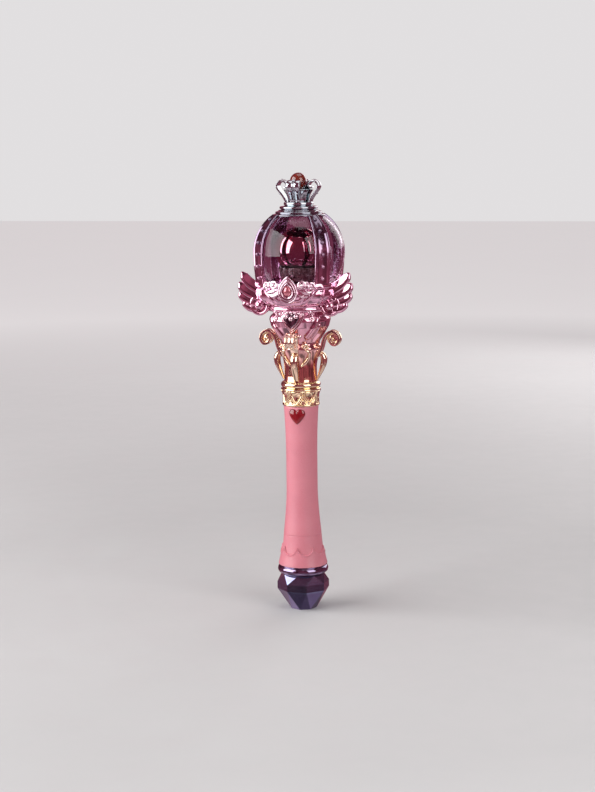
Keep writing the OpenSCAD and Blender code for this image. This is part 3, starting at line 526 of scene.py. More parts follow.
def mesh_of(name, solid, clean=True):
    """A mesh in metres, its doubled points merged and its faces turned outwards."""
    mesh = bpy.data.meshes.new(name)
    verts = np.asarray(solid[0], float) * MM
    mesh.from_pydata(verts.tolist(), [], [tuple(map(int, f)) for f in solid[1]])
    bm = bmesh.new()
    bm.from_mesh(mesh)
    bmesh.ops.remove_doubles(bm, verts=bm.verts, dist=MERGE)
    if clean:
        bmesh.ops.dissolve_degenerate(bm, edges=bm.edges, dist=SLIVER)
        bmesh.ops.delete(bm, geom=[e for e in bm.edges if not e.link_faces], context="EDGES")
    bmesh.ops.recalc_face_normals(bm, faces=bm.faces)
    bm.to_mesh(mesh)
    bm.free()
    return mesh


def shade(mesh, sharp=35.0):
    """Smooth shading, with the edges that bend by more than that angle kept sharp."""
    mesh.shade_smooth()
    mesh.set_sharp_from_angle(angle=math.radians(sharp))


def add_object(name, data):
    obj = bpy.data.objects.new(name, data)
    bpy.context.scene.collection.objects.link(obj)
    return obj


def piece(name, solid, material, nodes, body="root", sharp=35.0):
    """Makes one visual piece that rides on a body and stands for CAD nodes."""
    mesh = mesh_of(name, solid)
    mesh.materials.append(material)
    shade(mesh, sharp)
    obj = add_object(name, mesh)
    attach(obj, body)
    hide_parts(*nodes)
    return obj


FRONT_BACK = (("front", 0), ("back", 180))
ALL_ROUND = FRONT_BACK + (("left", -90), ("right", 90))


def turned_pieces(name, node, solid, material, sharp, places=FRONT_BACK):
    """The same piece at several places round the wand, each with its own node."""
    for side, angle in places:
        piece(name + side, spin(solid, angle), material, [node + side], sharp=sharp)


def cut(target, tool_solid, operation="DIFFERENCE"):
    """Applies a boolean of a closed solid to a piece and drops the tool."""
    tool = add_object("tool", mesh_of("tool", tool_solid, clean=False))
    m = target.modifiers.new("cut", "BOOLEAN")
    m.operation = operation
    m.object = tool
    m.solver = "EXACT"
    bpy.context.view_layer.update()
    result = bpy.data.meshes.new_from_object(target.evaluated_get(bpy.context.evaluated_depsgraph_get()))
    target.modifiers.remove(m)
    old = target.data
    target.data = result
    bpy.data.meshes.remove(old)
    bpy.data.objects.remove(tool)
    shade(result)


def ease_edges(obj, width, segments, degrees):
    """Rounds the edges that bend by more than that angle."""
    m = obj.modifiers.new("edges", "BEVEL")
    m.width = width * MM
    m.segments = segments
    m.limit_method = "ANGLE"
    m.angle_limit = math.radians(degrees)


# ---- Finial and crown ----

# The ball has a fine mould line round its middle
ball_line = [[FINIAL_R * math.sin(a), -FINIAL_R * math.cos(a)] for a in np.linspace(0.33, math.pi, 48)]
ball_line = above(Z_FINIAL, [(r - 0.05 * math.exp(-(z / 0.14) ** 2), z) for r, z in ball_line])
peg_foot = low("finial_ball")
piece("finial", lathe([[0, peg_foot], [1.7, peg_foot], [2, peg_foot + 0.3], [2, Z_FINIAL - 5.9]] + ball_line),
      amber, ["finial_ball"])

COLLAR_H = 10.5
Z_COLLAR = high("crown_collar") - COLLAR_H


def globe_point(tilt, grow):
    t = math.radians(tilt)
    rise = (GLOBE_RISE if tilt < 90 else GLOBE_DROP) + grow
    return [(GLOBE_R + grow) * math.sin(t), Z_GLOBE + rise * math.cos(t)]


# The collar's steps: radius, and height above its foot
COLLAR_STEPS = [(19.4, 0.05), (19.9, 0.5), (19.6, 1.2), (17.4, 1.9), (17.2, 2.3), (17.6, 2.7), (17.2, 3.3),
                (15.2, 3.9), (14.9, 4.5), (13.0, 4.8), (13.1, 5.0), (14.1, 5.5), (14.3, 6.3), (13.9, 7.1),
                (11.2, 7.5), (10.3, 7.8), (10.9, 8.2), (11.2, 9.0), (11.0, 9.9), (10.4, COLLAR_H),
                (3.2, COLLAR_H), (3.2, 3.5)]
collar_low = low("crown_collar")
collar_line = ([[8.2, collar_low], [8.2, Z_TOP - 0.8]]
               + [globe_point(t, 0.03) for t in np.linspace(15.6, 34.5, 8)]
               + above(Z_COLLAR, COLLAR_STEPS) + [[3.2, collar_low]])
piece("crown_collar_rings", lathe(rounded(collar_line, 0.35, 3, closed=True), 128), crown_chrome,
      ["crown_collar"], sharp=50)

Z_CUP = low("crown_cup") + 4
cup_line = above(Z_CUP, [(0.2, -4), (2.8, -4), (3, -3.8), (3, 0), (7.6, 0), (7.8, 0.3)]
                 + quad((7.9, 0.6), (8.3, 5), (11.0, 8.4), 20) + [(11.3, 8.75), (11.1, 9), (10.7, 8.9)]
                 + quad((10.2, 8.4), (7.2, 5.5), (6.4, 3.2), 16)
                 + [(4.9, 3.1), (4.7, 3.4), (4.7, 8.1), (4.4, 8.4), (2.1, 8.4), (2.1, 4), (0.2, 4)])


def fluted_cup():
    """The bell has twelve shallow flutes towards its lip."""
    verts, faces = lathe(cup_line, 144)
    r = np.hypot(verts[:, 0], verts[:, 1])
    a = np.arctan2(verts[:, 0], -verts[:, 1])
    share = np.clip((verts[:, 2] - Z_CUP - 2) / 7, 0, 1) * np.clip((r - 5.5) / 3, 0, 1)
    grow = 1 + 0.03 * share * (np.abs(np.cos(6 * a)) - 0.7)
    verts[:, 0] *= grow
    verts[:, 1] *= grow
    return verts, faces


piece("crown_cup_bell", fluted_cup(), crown_chrome, ["crown_cup"], sharp=50)

# A leaf of the crown: two rounded lobes with a groove between them
TWIN = rounded([[-1, -0.5], [1, -0.5], [1, 0.3], [0.86, 0.55], [0.5, 0.66], [0.2, 0.52], [0.04, -0.05],
                [-0.04, -0.05], [-0.2, 0.52], [-0.5, 0.66], [-0.86, 0.55], [-1, 0.3]], 0.14, 3, closed=True)


def directions(line):
    """The unit direction at each point of a line."""
    d = np.gradient(line, axis=0)
    return d / np.linalg.norm(d, axis=1)[:, None]


def upright(line, way=1):
    """A line of radius and height as a path in front of the wand's axis, and the side its crown faces."""
    flat = np.zeros(len(line))
    d = directions(line) * way
    return np.stack([flat, -line[:, 0], line[:, 1]], 1), np.stack([flat, -d[:, 1], -d[:, 0]], 1)


def prong():
    foot = low("crown_prong_front")
    base = Z_TOP + 1.4
    line = smooth([(9.3, foot), (9.4, foot + 0.8)]
                  + above(base, [(10.4, 6.4), (12.8, 9.9), (14.8, 12.5), (15.7, 14.8), (15.2, 17.0),
                                 (13.0, 18.7), (10.4, 18.4), (8.6, 16.9), (8.3, 15.1), (9.6, 13.9),
                                 (11.2, 14.2)]), 100)
    n = len(line)
    path, out = upright(line)
    half_w = along(n, [0, 0.2, 0.42, 0.6, 0.8, 1], [4.0, 4.1, 5.0, 5.1, 4.2, 2.6])
    body = sweep(path, TWIN, out, half_w, along(n, [0, 0.85, 1], [1.5, 1.3, 0.9]))
    return join(body, ball((0, -12.4, base + 19.3), 0.95, 10), ball((2.6, -13.6, base + 9.6), 0.8, 10))


turned_pieces("crown_leaf_", "crown_prong_", prong(), crown_chrome, 55, ALL_ROUND)

# ---- Globe, ribs and lamp ----

GLOBE_FOOT = 180 - math.degrees(math.acos((Z_GLOBE - low("globe_front")) / GLOBE_DROP))
globe_tilts = np.linspace(15, GLOBE_FOOT, 110)
outer = [globe_point(t, 0) for t in globe_tilts]
inner = [globe_point(t, -GLOBE_WALL) for t in globe_tilts[::-1]]
piece("clear_globe", lathe(rounded(outer + inner, 0.3, 3, closed=True, limit=30), 192), clear,
      ["globe_front", "globe_back"], sharp=60)

# A rib's section: shares of its half angle in degrees, and height above the globe. Its beads: height from the
# globe's middle
RIB_HALF = 10.5
RIB_FLANK = [[-1, 0.05], [-1, 1.35], [-0.985, 1.75], [-0.94, 1.98], [-0.87, 1.98], [-0.81, 1.8],
             [-0.77, 1.45], [-0.72, 1.3], [-0.45, 1.18], [-0.15, 1.12]]
RIB_BASE = [[0.5, 0.05], [0, 0.05], [-0.5, 0.05]]
RIB_SECTION = np.array(RIB_FLANK + [[0.0, 1.12]] + [[-u, h] for u, h in RIB_FLANK[::-1]] + RIB_BASE)
RIB_BEADS = (24.2, 16.2, 7.7, -0.8, -9.7, -18.4)
RIB_BEAD_R = 1.3


def rib_base():
    """Radius and height of the rib's underside, from its top to the bowl's rim, and the way out there."""
    line = [globe_point(t, 0.05) for t in np.linspace(34.6, 90, 44)]
    low_line = [(GLOBE_R - 0.2, Z_GLOBE - 8), (GLOBE_R - 0.8, Z_GLOBE - 15), (GLOBE_R - 1.65, Z_RIM + 0.02)]
    line = even(smooth(line[::4] + low_line, 400), 84)
    d = directions(line)
    return line, np.stack([-d[:, 1], d[:, 0]], 1)


def rib():
    line, out = rib_base()
    u, h = RIB_SECTION.T
    verts = polar(np.radians(RIB_HALF * u), line[:, :1] + out[:, :1] * h, line[:, 1:] + out[:, 1:] * h)
    parts = [(verts.reshape(-1, 3), grid_faces(len(line), len(u)) + ends(len(line), len(u)))]
    for z in Z_GLOBE + np.array(RIB_BEADS):
        k = int(np.argmin(np.abs(line[:, 1] + out[:, 1] * 1.3 - z)))
        r = line[k, 0] + out[k, 0] * 1.5
        parts.append(ball(polar(0.0, r, z), RIB_BEAD_R))
    return join(*parts)


turned_pieces("rib_", "globe_rib_", rib(), rib_chrome, 55,
              (("front_left", -45), ("front_right", 45), ("back_left", -135), ("back_right", 135)))

BALL_R, BALL_WALL, BALL_HOLE_R = 17.8, 1.2, 6
z_ball = high("light_ball") - BALL_R
tilts = np.linspace(math.asin(BALL_HOLE_R / BALL_R), math.pi, 72)
ball_skins = [[r * math.sin(a), z_ball - r * math.cos(a)]
              for r, turns in ((BALL_R, tilts), (BALL_R - BALL_WALL, tilts[::-1])) for a in turns]
piece("mirror_ball", lathe(ball_skins, 128), ball_red, ["light_ball"], sharp=40)

foot, lip = low("light_cup"), high("light_cup")
light_cup_line = ([[6.8, foot]] + quad((9.5, foot), (15.2, foot + 2.5), (15.2, lip - 0.6), 24)
                  + [[15.5, lip - 0.3], [15.4, lip], [14.4, lip]]
                  + quad((14.2, lip - 0.6), (14.2, foot + 3.4), (8.9, foot + 1.2), 24)
                  + [[8, foot + 1.2], [8, foot + 8.1], [6.8, foot + 8.1]])
piece("smoky_cup", lathe(light_cup_line), smoky, ["light_cup"], sharp=40)

# ---- Head casing ----


def casing_points():
    line = above(Z_STEM, [(12.6, 0), (12.35, 1.2), (12.2, 4)] + quad((12.2, 10), (12.4, 17), (16.2, 24.2), 18)
                 + [(16.5, 25.0), (16.2, 26)])
    line += above(Z_VASE, [(14.6, -0.4), (14.6, 0.6)] + quad((14.8, 1.5), (17.5, 6), (21.4, 13), 18)
                  + arc((17.6, 18), 5, -8, 66, 14))
    line += above(Z_BOWL, [(20.8, -1.6), (23.8, -1.3), (24.7, 0.1), (24.7, 1.4), (24.0, 2.4)])
    line += quad((24.9, Z_BOWL + 3.3), (34, Z_BOWL + 7), (33.1, Z_RIM - 6.6), 26)
    line += above(Z_RIM, [(32.2, -4.9), (32.6, -4.3), (33.5, -3.5), (33.75, -2.4), (33.7, -1.0), (33.3, 0)])
    return even(rounded(line, 0.7, 4, limit=8), 230)


CASING_WALL = 1.6
CASING = casing_points()


def casing_r(z):
    """Radius of the casing's outside at a height; it climbs all the way, so one radius for each height."""
    order = np.argsort(CASING[:, 1])
    return np.interp(z, CASING[order, 1], CASING[order, 0])


def distance(px, pz, line):
    best = np.full(px.shape, 1e9)
    line = np.array(line, float)
    for (ax, az), (bx, bz) in zip(line[:-1], line[1:]):
        dx, dz = bx - ax, bz - az
        t = np.clip(((px - ax) * dx + (pz - az) * dz) / (dx * dx + dz * dz + 1e-12), 0, 1)
        best = np.minimum(best, np.hypot(px - ax - t * dx, pz - az - t * dz))
    return best


def inside(px, pz, outline):
    o = np.array(outline, float)
    hit = np.zeros(px.shape, bool)
    for (ax, az), (bx, bz) in zip(o, np.roll(o, -1, axis=0)):
        cross = (az > pz) != (bz > pz)
        with np.errstate(divide="ignore", invalid="ignore"):
            x = (bx - ax) * (pz - az) / (bz - az) + ax
        hit ^= cross & (px < x)
    return hit


def line_height(px, pz, strokes):
    h = np.zeros(px.shape)
    for line, width, tall in strokes:
        for s in (-1, 1):
            flipped = [[s * x, z] for x, z in line]
            h = np.maximum(h, tall * np.clip(1 - (distance(px, pz, flipped) / width) ** 2, 0, 1))
    return h


# Raised lines on the bowl and the vase: their points as distance round the casing from the front and height,
# the steps along them, half width and rise
CASING_LINES = [(smooth(points, steps).tolist(), width, rise) for points, steps, width, rise in (
    (above(Z_BOWL, [(0, 5.0), (8, 5.1), (10.8, 6.3), (14.5, 9.8), (18.5, 13.6)]) + [(21.2, Z_RIM - 3.6)],
     44, 1.5, 1.15),
    (above(Z_BOWL, [(0, 8.0), (6.8, 8.1), (9.2, 9.2), (12.2, 11.8), (15, 14.4)]), 30, 0.85, 0.6),
    ([(27, Z_RIM - 3)] + above(Z_BOWL, [(26.5, 12.5), (24, 7), (20.5, 4)]), 24, 1.0, 0.6),
    (above(Z_VASE, [(19.6, 19.5), (17.6, 15.0), (13.8, 10.2), (9.8, 6.2)]), 24, 2.5, 1.7),
    (above(Z_VASE, [(21.8, 14.5), (18.4, 9.6), (13.6, 5.2)]), 18, 1.2, 0.7))]


def half_casing():
    columns = np.radians(np.linspace(-90, 90, 181))
    d = directions(CASING)
    a, r = np.meshgrid(columns, CASING[:, 0], indexing="ij")
    z = np.broadcast_to(CASING[:, 1], a.shape)
    h = line_height(a * casing_r(z), z, CASING_LINES)
    # A soft gadroon round the sides of the vase
    vase = np.clip((z - Z_VASE - 1) / 5, 0, 1) * np.clip((Z_BOWL - 3 - z) / 4, 0, 1)
    h += 0.35 * vase * np.clip(np.abs(np.degrees(a)) - 62, 0, 14) / 14 * np.abs(np.cos(a * 7.5))
    skins = [polar(a, r + d[:, 1] * h, z - d[:, 0] * h), polar(a, r - CASING_WALL, z)[:, ::-1]]
    rows, m = a.shape
    faces = grid_faces(rows, 2 * m)
    for first in (0, (rows - 1) * 2 * m):
        last = first + 2 * m - 1
        faces += [(first + j, first + j + 1, last - 1 - j, last - j) for j in range(m - 1)]
    return np.concatenate(skins, axis=1).reshape(-1, 3), faces


turned_pieces("casing_", "head_casing_", half_casing(), head_chrome, 40)


def on_bowl(x, z, h):
    r = np.where(np.asarray(z) > Z_RIM - 0.2, BOWL_R, casing_r(z))
    return polar(np.asarray(x) / BOWL_R, r + h, z)


def bowl_scroll(centre, r0, r1, a0, a1, thick):
    line = even(spiral(centre, r0, r1, a0, a1, 60), 70)
    n = len(line)
    path = on_bowl(line[:, 0], line[:, 1], np.full(n, 0.5))
    w = thick * along(n, [0, 0.75, 1], [1, 0.75, 0.45]) * taper(n, 0.12, 0)
    return sweep(path, ROUND, path * [1, 1, 0], w, w * 0.85)


def bowl_leaf(points, width, height):
    line = smooth(points, 28)
    n = len(line)
    path = on_bowl(line[:, 0], line[:, 1], np.full(n, 0.15))
    w = width * taper(n, 0.35, 0.55, 0.7)
    return sweep(path, LEAF, path * [1, 1, 0], w, height * taper(n, 0.25, 0.4, 0.6))


def acanthus():
    """Scrolls with their eyes and leaves below the rim, the same on both sides of the middle."""
    bits = [bowl_scroll((10.9, Z_RIM - 0.9), 3.0, 1.9, 250, -170, 1.0),
            bowl_scroll((17.2, Z_RIM - 1.5), 2.7, 1.7, -70, 320, 0.9)]
    for x, rise, stand, r, rings in ((10.9, -0.9, 0.5, 1.6, 14), (17.2, -1.5, 0.4, 1.4, 14),
                                     (14.1, 0.9, 0.3, 1.3, 12)):
        bits.append(ball(on_bowl(x, Z_RIM + rise, stand), r, rings))
    for points, width, height in (([(8.2, -4.4), (12.5, -6.0), (16.6, -6.4), (20.4, -3.4)], 2.0, 1.3),
                                  ([(7.6, -7.4), (10.6, -8.8), (13.8, -8.9), (17.4, -6.6)], 1.4, 1.0),
                                  ([(18.0, -3.4), (19.8, -1.2), (20.0, 1.4)], 1.0, 0.8)):
        bits.append(bowl_leaf(above(Z_RIM, points), width, height))
    return join(*both_sides(bits))


turned_pieces("acanthus_", "bowl_trim_", acanthus(), bright_chrome, 60)

CREST_Z = Z_RIM - 4
CREST_Y = 29


def crest_line(w, h, n=28):
    right = arc((0, 0), w / 2, -90, 0, n) + quad((w / 2, 0), (w / 2, h * 0.35), (0, h * 0.64), n)[1:]
    return above(CREST_Z - h * 0.13, with_mirror(right))


# The medallion's rings: share of its size, and height
crest_profile = [(1.0, 4.4), (0.99, 4.9), (0.965, 5.15), (0.93, 5.25), (0.885, 5.15), (0.86, 4.9),
                 (0.85, 4.2), (0.81, 4.2), (0.80, 5.0), (0.775, 5.6), (0.735, 5.85), (0.69, 5.8),
                 (0.66, 5.4), (0.65, 4.5), (0.61, 4.5), (0.60, 5.4), (0.575, 6.1), (0.54, 6.35),
                 (0.50, 6.25), (0.475, 5.8), (0.462, 5.0), (0.45, 4.8), (0.0, 4.8)]
crest = plaque(crest_line(15, 20), crest_profile, facing(CREST_Y), (0, CREST_Z - 1.6), back=3.0)
turned_pieces("crest_medallion_", "crest_", crest, bright_chrome, 50)
jewel_rings = [(math.cos(a), 4.9 + 2.0 * math.sin(a)) for a in np.radians([8, 20, 35, 50, 65, 78])]
jewel_rings.append((0.0, 6.9))
jewel_line = above(CREST_Z - 0.9, [(2.9 * x, 3.7 * z) for x, z in ring_of(1.0, 56)])
jewel = plaque(jewel_line, jewel_rings, facing(CREST_Y), (0, CREST_Z - 0.9), back=4.85)
turned_pieces("crest_cabochon_", "crest_jewel_", jewel, rose, 50)

# ---- Wings ----

WING_Y = 12.8
VOLUTE = (26.8, Z_BOWL + 3.2)
# A feather's section: a smooth cushion, highest towards its lower edge
VANE = rounded([[-1, 0.05], [-0.8, -0.35], [0, -0.5], [0.8, -0.35], [1, 0.05], [0.86, 0.42], [0.5, 0.66],
                [0.1, 0.6], [-0.4, 0.36], [-0.8, 0.22]], 0.2, 4, closed=True)
# Feathers: spine from the volute's centre, half widths along it, thickness and how far it stands out
FEATHERS = [([(-4.5, 9), (3, 12.6), (9.5, 17.4), (14.6, 24.6)], [4.6, 4.9, 4.7, 4.0, 2.8], 3.0, -0.3),
            ([(-2.5, 5), (5, 7.6), (12, 11.4), (16.6, 17.0)], [4.2, 4.7, 4.7, 4.0, 2.8], 3.0, 0.5),
            ([(0.5, 1.8), (7, 3.4), (12.4, 6), (16, 10.2)], [3.8, 4.5, 4.5, 3.9, 2.8], 2.9, 1.1),
            ([(1.5, -2), (6, -1.6), (9.8, 0.2), (12.4, 3.4)], [3.0, 3.8, 4.0, 3.6, 2.8], 2.6, 1.6)]


def feather(spine, widths, thick, y0):
    """A broad smooth vane along a spine of x and z points, with a rounded tip."""
    line = smooth(spine, 56)
    n = len(line)
    path = np.stack([line[:, 0], -y0 + 0.05 * (line[:, 0] - 27), line[:, 1]], 1)
    w = along(n, np.linspace(0, 1, len(widths)), widths) * taper(n, 0, 0.14, 0.5, 0.08)
    return sweep(path, VANE, (0, -1, 0), w, thick * taper(n, 0.05, 0.16, 0.5, 0.12))


def wing():
    x, z = VOLUTE
    parts = [feather(np.array(spine) + VOLUTE, widths, thick, WING_Y + out)
             for spine, widths, thick, out in FEATHERS]
    parts.append(ball((x + 8.8, -WING_Y - 3.2, z + 0.8), 1.25))
    line = even(spiral(VOLUTE, 7.2, 5.2, 70, -300, 90), 100)
    n = len(line)
    path = np.stack([line[:, 0], along(n, [0, 1], [-WING_Y - 0.9, -WING_Y - 2.4]), line[:, 1]], 1)
    w = 1.5 * along(n, [0, 0.7, 1], [1, 0.9, 0.7]) * taper(n, 0.08, 0.08)
    parts.append(sweep(path, ROUND, (0, -1, 0), w, w * 1.15))
    rings = [(1.0, 3.2), (0.97, 3.7), (0.9, 3.9), (0.66, 3.6), (0.5, 3.5), (0.0, 3.5)]
    parts.append(plaque(ring_of(7.0, 64, VOLUTE), rings, facing(9.6), VOLUTE, back=0.6))
    parts.append(ball((x, -WING_Y - 1.2, z), 3.7, 20))
    return join(*parts)


right = wing()
for side, solid in (("right", right), ("left", flip(right))):
    piece("feather_wing_" + side, solid, head_chrome, ["wing_" + side], sharp=55)

# ---- Cameo on the vase ----

CAMEO_Z = Z_VASE + 18.6


def heart_line(w, h, n=14):
    """A closed heart of that width and height about the origin, from its point round the right lobe."""
    r = w * 0.27
    lobe = np.array([w / 2 - r, h / 2 - r])
    flank = lobe + r * np.array([math.cos(math.radians(22)), -math.sin(math.radians(22))])
    right_side = quad((0, -h / 2), (w * 0.36, -h * 0.2), flank, n)
    end = math.degrees(math.acos(-lobe[0] / r))
    return with_mirror(right_side + arc(lobe, r, -12, end, 2 * n))


def cameo_place(x, z, h):
    """Bends the cameo round the vase; h is measured from the vase's own axis at the front."""
    r = 21.4 + h
    return polar(np.asarray(x) / 23.5, r, z)


cameo_profile = [(1.0, 1.0), (0.985, 1.7), (0.955, 2.05), (0.91, 2.1), (0.875, 1.8), (0.86, 1.2),
                 (0.83, 1.2), (0.82, 2.3), (0.795, 2.9), (0.755, 3.05), (0.72, 2.8), (0.705, 2.1),
                 (0.675, 2.1), (0.665, 3.1), (0.64, 3.6), (0.605, 3.65), (0.585, 3.1), (0.575, 2.2),
                 (0.0, 2.2)]
CAMEO_MID = (0, CAMEO_Z + 0.6)
cameo_line = above(CAMEO_Z, rounded(heart_line(19, 18.6), 0.8, 4, closed=True))
cameo = plaque(cameo_line, cameo_profile, cameo_place, CAMEO_MID, back=-4.5)
turned_pieces("cameo_heart_", "cameo_frame_", cameo, bright_chrome, 50)
mirror_rings = [(1.0, 2.7), (0.93, 2.95), (0.8, 2.9), (0.5, 2.65), (0.2, 2.5), (0.0, 2.48)]
mirror = plaque(above(CAMEO_Z, heart_line(10.4, 10.1)), mirror_rings, cameo_place, CAMEO_MID, back=2.25)
turned_pieces("cameo_glass_", "cameo_mirror_", mirror, mirror_dark, 50)


def cameo_beads():
    parts = [ball(cameo_place(x, Z_BOWL - 1.0 - 0.02 * x * x, 3.3), 1.2, 10) for x in 2.8 * np.arange(-3, 4)]
    for x, rise in ((-3.5, -3.9), (0, -5.5), (3.5, -3.9)):
        parts.append(ball(cameo_place(x, Z_BOWL + rise, 4.2), 1.75, 14))
    # Small curls beside the cameo and drops under its point, on the vase itself
    on_vase = []
    for x, rise, size in ((14.2, -2.6, 2.3), (14.9, -6.6, 1.9)):
        line = even(spiral((x, Z_BOWL + rise), size, size * 0.45, 200, -150, 40), 48)
        r = casing_r(line[:, 1])
        tube = 0.38 * size * taper(len(line), 0.12, 0.1)
        out = polar(line[:, 0] / r, r, 0 * r)
        on_vase.append(sweep(polar(line[:, 0] / r, r + 0.5, line[:, 1]), ROUND, out, tube, tube))
        eye_r = float(casing_r(Z_BOWL + rise))
        on_vase.append(ball(polar(x / eye_r, eye_r + 0.3, Z_BOWL + rise), size * 0.42, 10))
    foot_r = float(casing_r(Z_VASE + 6.0))
    on_vase.append(ball(polar(4.4 / foot_r, foot_r + 0.4, Z_VASE + 6.6), 1.5))
    return join(*parts, *both_sides(on_vase))


turned_pieces("cameo_beads_", "cameo_pearls_", cameo_beads(), bright_chrome, 60)

# ---- Stem: lyre and brackets ----


def lyre():
    arm = [(6.4, 24.6), (9.3, 22.6), (9.6, 19.0), (7.8, 15.6), (5.2, 13.0), (3.9, 11.8)]
    curl = np.array(spiral((6.5, Z_STEM + 27.2), 2.2, 0.7, -90, 330, 44))
    parts = []
    for line, thick in ((smooth(above(Z_STEM, arm), 44), 1.3), (curl, 1.0)):
        path = polar(line[:, 0] / 13.5, np.maximum(casing_r(line[:, 1]), 12.4) + 0.55, line[:, 1])
        w = thick * taper(len(line), 0.15, 0.2)
        parts.append(sweep(path, ROUND, path * [1, 1, 0], w, w))
    parts.append(ball(polar(6.5 / 13.5, float(casing_r(Z_STEM + 27.2)) + 0.9, Z_STEM + 27.2), 0.9, 10))
    return join(*both_sides(parts))


def bracket():
    """A ribbon that climbs from the stem into a volute, and a horn below it."""
    stalk = smooth(above(Z_STEM, [(11.9, 17.2), (14.6, 19.8), (17.0, 25.0), (18.4, 30.4), (20.8, 35.0),
                                  (25.0, 37.4), (29.0, 35.2), (30.1, 31.2), (28.0, 27.8), (24.8, 28.2),
                                  (23.6, 31.0), (25.4, 32.8)]), 150)
    n = len(stalk)
    # The ribbon's crowned face turns away from the volute's centre
    path, out = upright(stalk, -1)
    wide = along(n, [0, 0.2, 0.45, 0.8, 1], [2.4, 3.0, 3.7, 3.5, 2.8])
    tall = 2.1 * along(n, [0, 0.3, 0.7, 1], [0.9, 1, 1, 0.75]) * taper(n, 0.05, 0.03, 0.5, 0.3)
    parts = [sweep(path, RIBBON, out, wide, tall)]
    # The volute is closed by a crowned web with a knob at its centre
    for radius, width in ((4.7, 0.42), (2.0, 1.7)):
        knob = ball((0, -25.3, Z_STEM + 32.0), radius, 20)
        knob[0][:, 0] *= width
        parts.append(knob)
    horn = smooth(above(Z_STEM, [(12.9, 0.9), (14.6, 4.8), (16.5, 9.2), (17.9, 13.6), (18.1, 17.4),
                                 (16.9, 20.0), (14.6, 20.2), (13.6, 18.6)]), 64)
    m = len(horn)
    path, out = upright(horn)
    wide = along(m, [0, 0.5, 0.8, 1], [1.7, 2.9, 3.1, 2.0])
    tall = along(m, [0, 0.25, 0.5, 0.68, 0.85, 1], [0.7, 1.5, 2.3, 2.6, 2.0, 0.9])
    parts.append(sweep(path, ROUND, out, wide, tall * taper(m, 0.02, 0.04, 0.5, 0.3)))
    return join(*parts)


turned_pieces("lyre_frame_", "lyre_", lyre(), gold_chrome, 60)
turned_pieces("bracket_", "scroll_bracket_", bracket(), gold_chrome, 55, ALL_ROUND)

# ---- Neck ----

z0, z1 = low("collar_ring"), high("collar_ring")
mid = (z0 + z1) / 2
ring_line = ([[10.5, z0], [13.2, z0], [13.7, z0 + 0.25]] + arc((12.9, mid), 2.05, -62, 62, 20)
             + [[13.6, z1 - 0.25], [13.2, z1], [10.5, z1]])
piece("neck_ring", lathe(rounded(ring_line, 0.15, 2, closed=True, limit=25), 128), gold_chrome,
      ["collar_ring"], sharp=50)


def neck():
    """The waisted collar, with a plain panel between leaf blades on each of its eight sides."""
    h = Z_COLLAR_RING - Z_NECK
    waist = above(Z_NECK, [(13.4, 0.02), (14.0, 0.5), (14.1, 1.3), (13.5, 1.8)]
                  + quad((13.3, 2.0), (11.8, h * 0.55), (14.2, h - 2.2), 40)
                  + [(14.3, h - 1.9), (14.95, h - 1.4), (15.0, h - 0.6), (14.5, h - 0.02)])
    line = even(rounded(waist, 0.35, 3, limit=14), 90)
    a = np.radians(np.linspace(0, 360, 640, endpoint=False))
    aa, rr = np.meshgrid(a, line[:, 0], indexing="ij")
    zz = np.broadcast_to(line[:, 1], aa.shape)
    local = (np.degrees(aa) + 22.5) % 45 - 22.5
    px = np.radians(local) * 13.4
    pz = zz - Z_NECK
    # On each side a plain panel narrows to a point between two pairs of leaf blades
    panel = [(0, 3.6), (3.3, 8.6), (3.6, 11.4), (-3.6, 11.4), (-3.3, 8.6)]
    edge = distance(px, pz, panel + panel[:1])
    rise = np.where(inside(px, pz, panel), np.clip(edge / 0.3, 0, 1) * 0.5, 0.0)
    blades = [([(4.7, 11.2), (3.9, 8.0), (2.2, 5.0), (0.5, 2.6)], 0.75, 0.95),
              ([(5.2, 8.2), (3.8, 5.2), (2.0, 3.2)], 0.7, 0.8), ([(5.1, 5.0), (3.4, 2.6)], 0.65, 0.7),
              ([(0, 1.9), (0, 3.4)], 0.7, 0.8)]
    rise = np.maximum(rise, line_height(px, pz, blades))
    outer_v = polar(aa, rr + rise, zz)
    rows = len(a)
    bore = np.array([[10.5, Z_NECK + h - 0.02], [10.5, Z_NECK + 0.02]])
    inner_v = polar(a[:, None], bore[None, :, 0], bore[None, :, 1])
    ring = np.concatenate([outer_v, inner_v], axis=1)
    return ring.reshape(-1, 3), grid_faces(rows, ring.shape[1], wrap_rows=True)


piece("neck_leaf_collar", neck(), gold_chrome, ["neck_collar"], sharp=50)

# ---- Handle ----

GRIP_LOW, GRIP_HIGH = Z_GRIP + 34, Z_GRIP + 60
GRIP_R, GRIP_TOP_R, GRIP_FOOT_R = 11.8, 13.1, 14.4
SHELL = 1.3


def grip_r(z):
    z = np.asarray(z, float)
    up = GRIP_R + (GRIP_TOP_R - GRIP_R) * (np.clip(z - GRIP_HIGH, 0, None) / (Z_NECK - GRIP_HIGH)) ** 2
    down = GRIP_R + (GRIP_FOOT_R - GRIP_R) * (np.clip(GRIP_LOW - z, 0, None) / (GRIP_LOW - Z_GRIP)) ** 1.5
    return np.where(z > GRIP_HIGH, up, down)


def grip_points(from_z, to_z, n, grow=0.0):
    z = np.linspace(from_z, to_z, n)
    return np.stack([grip_r(z) + grow, z], 1).tolist()


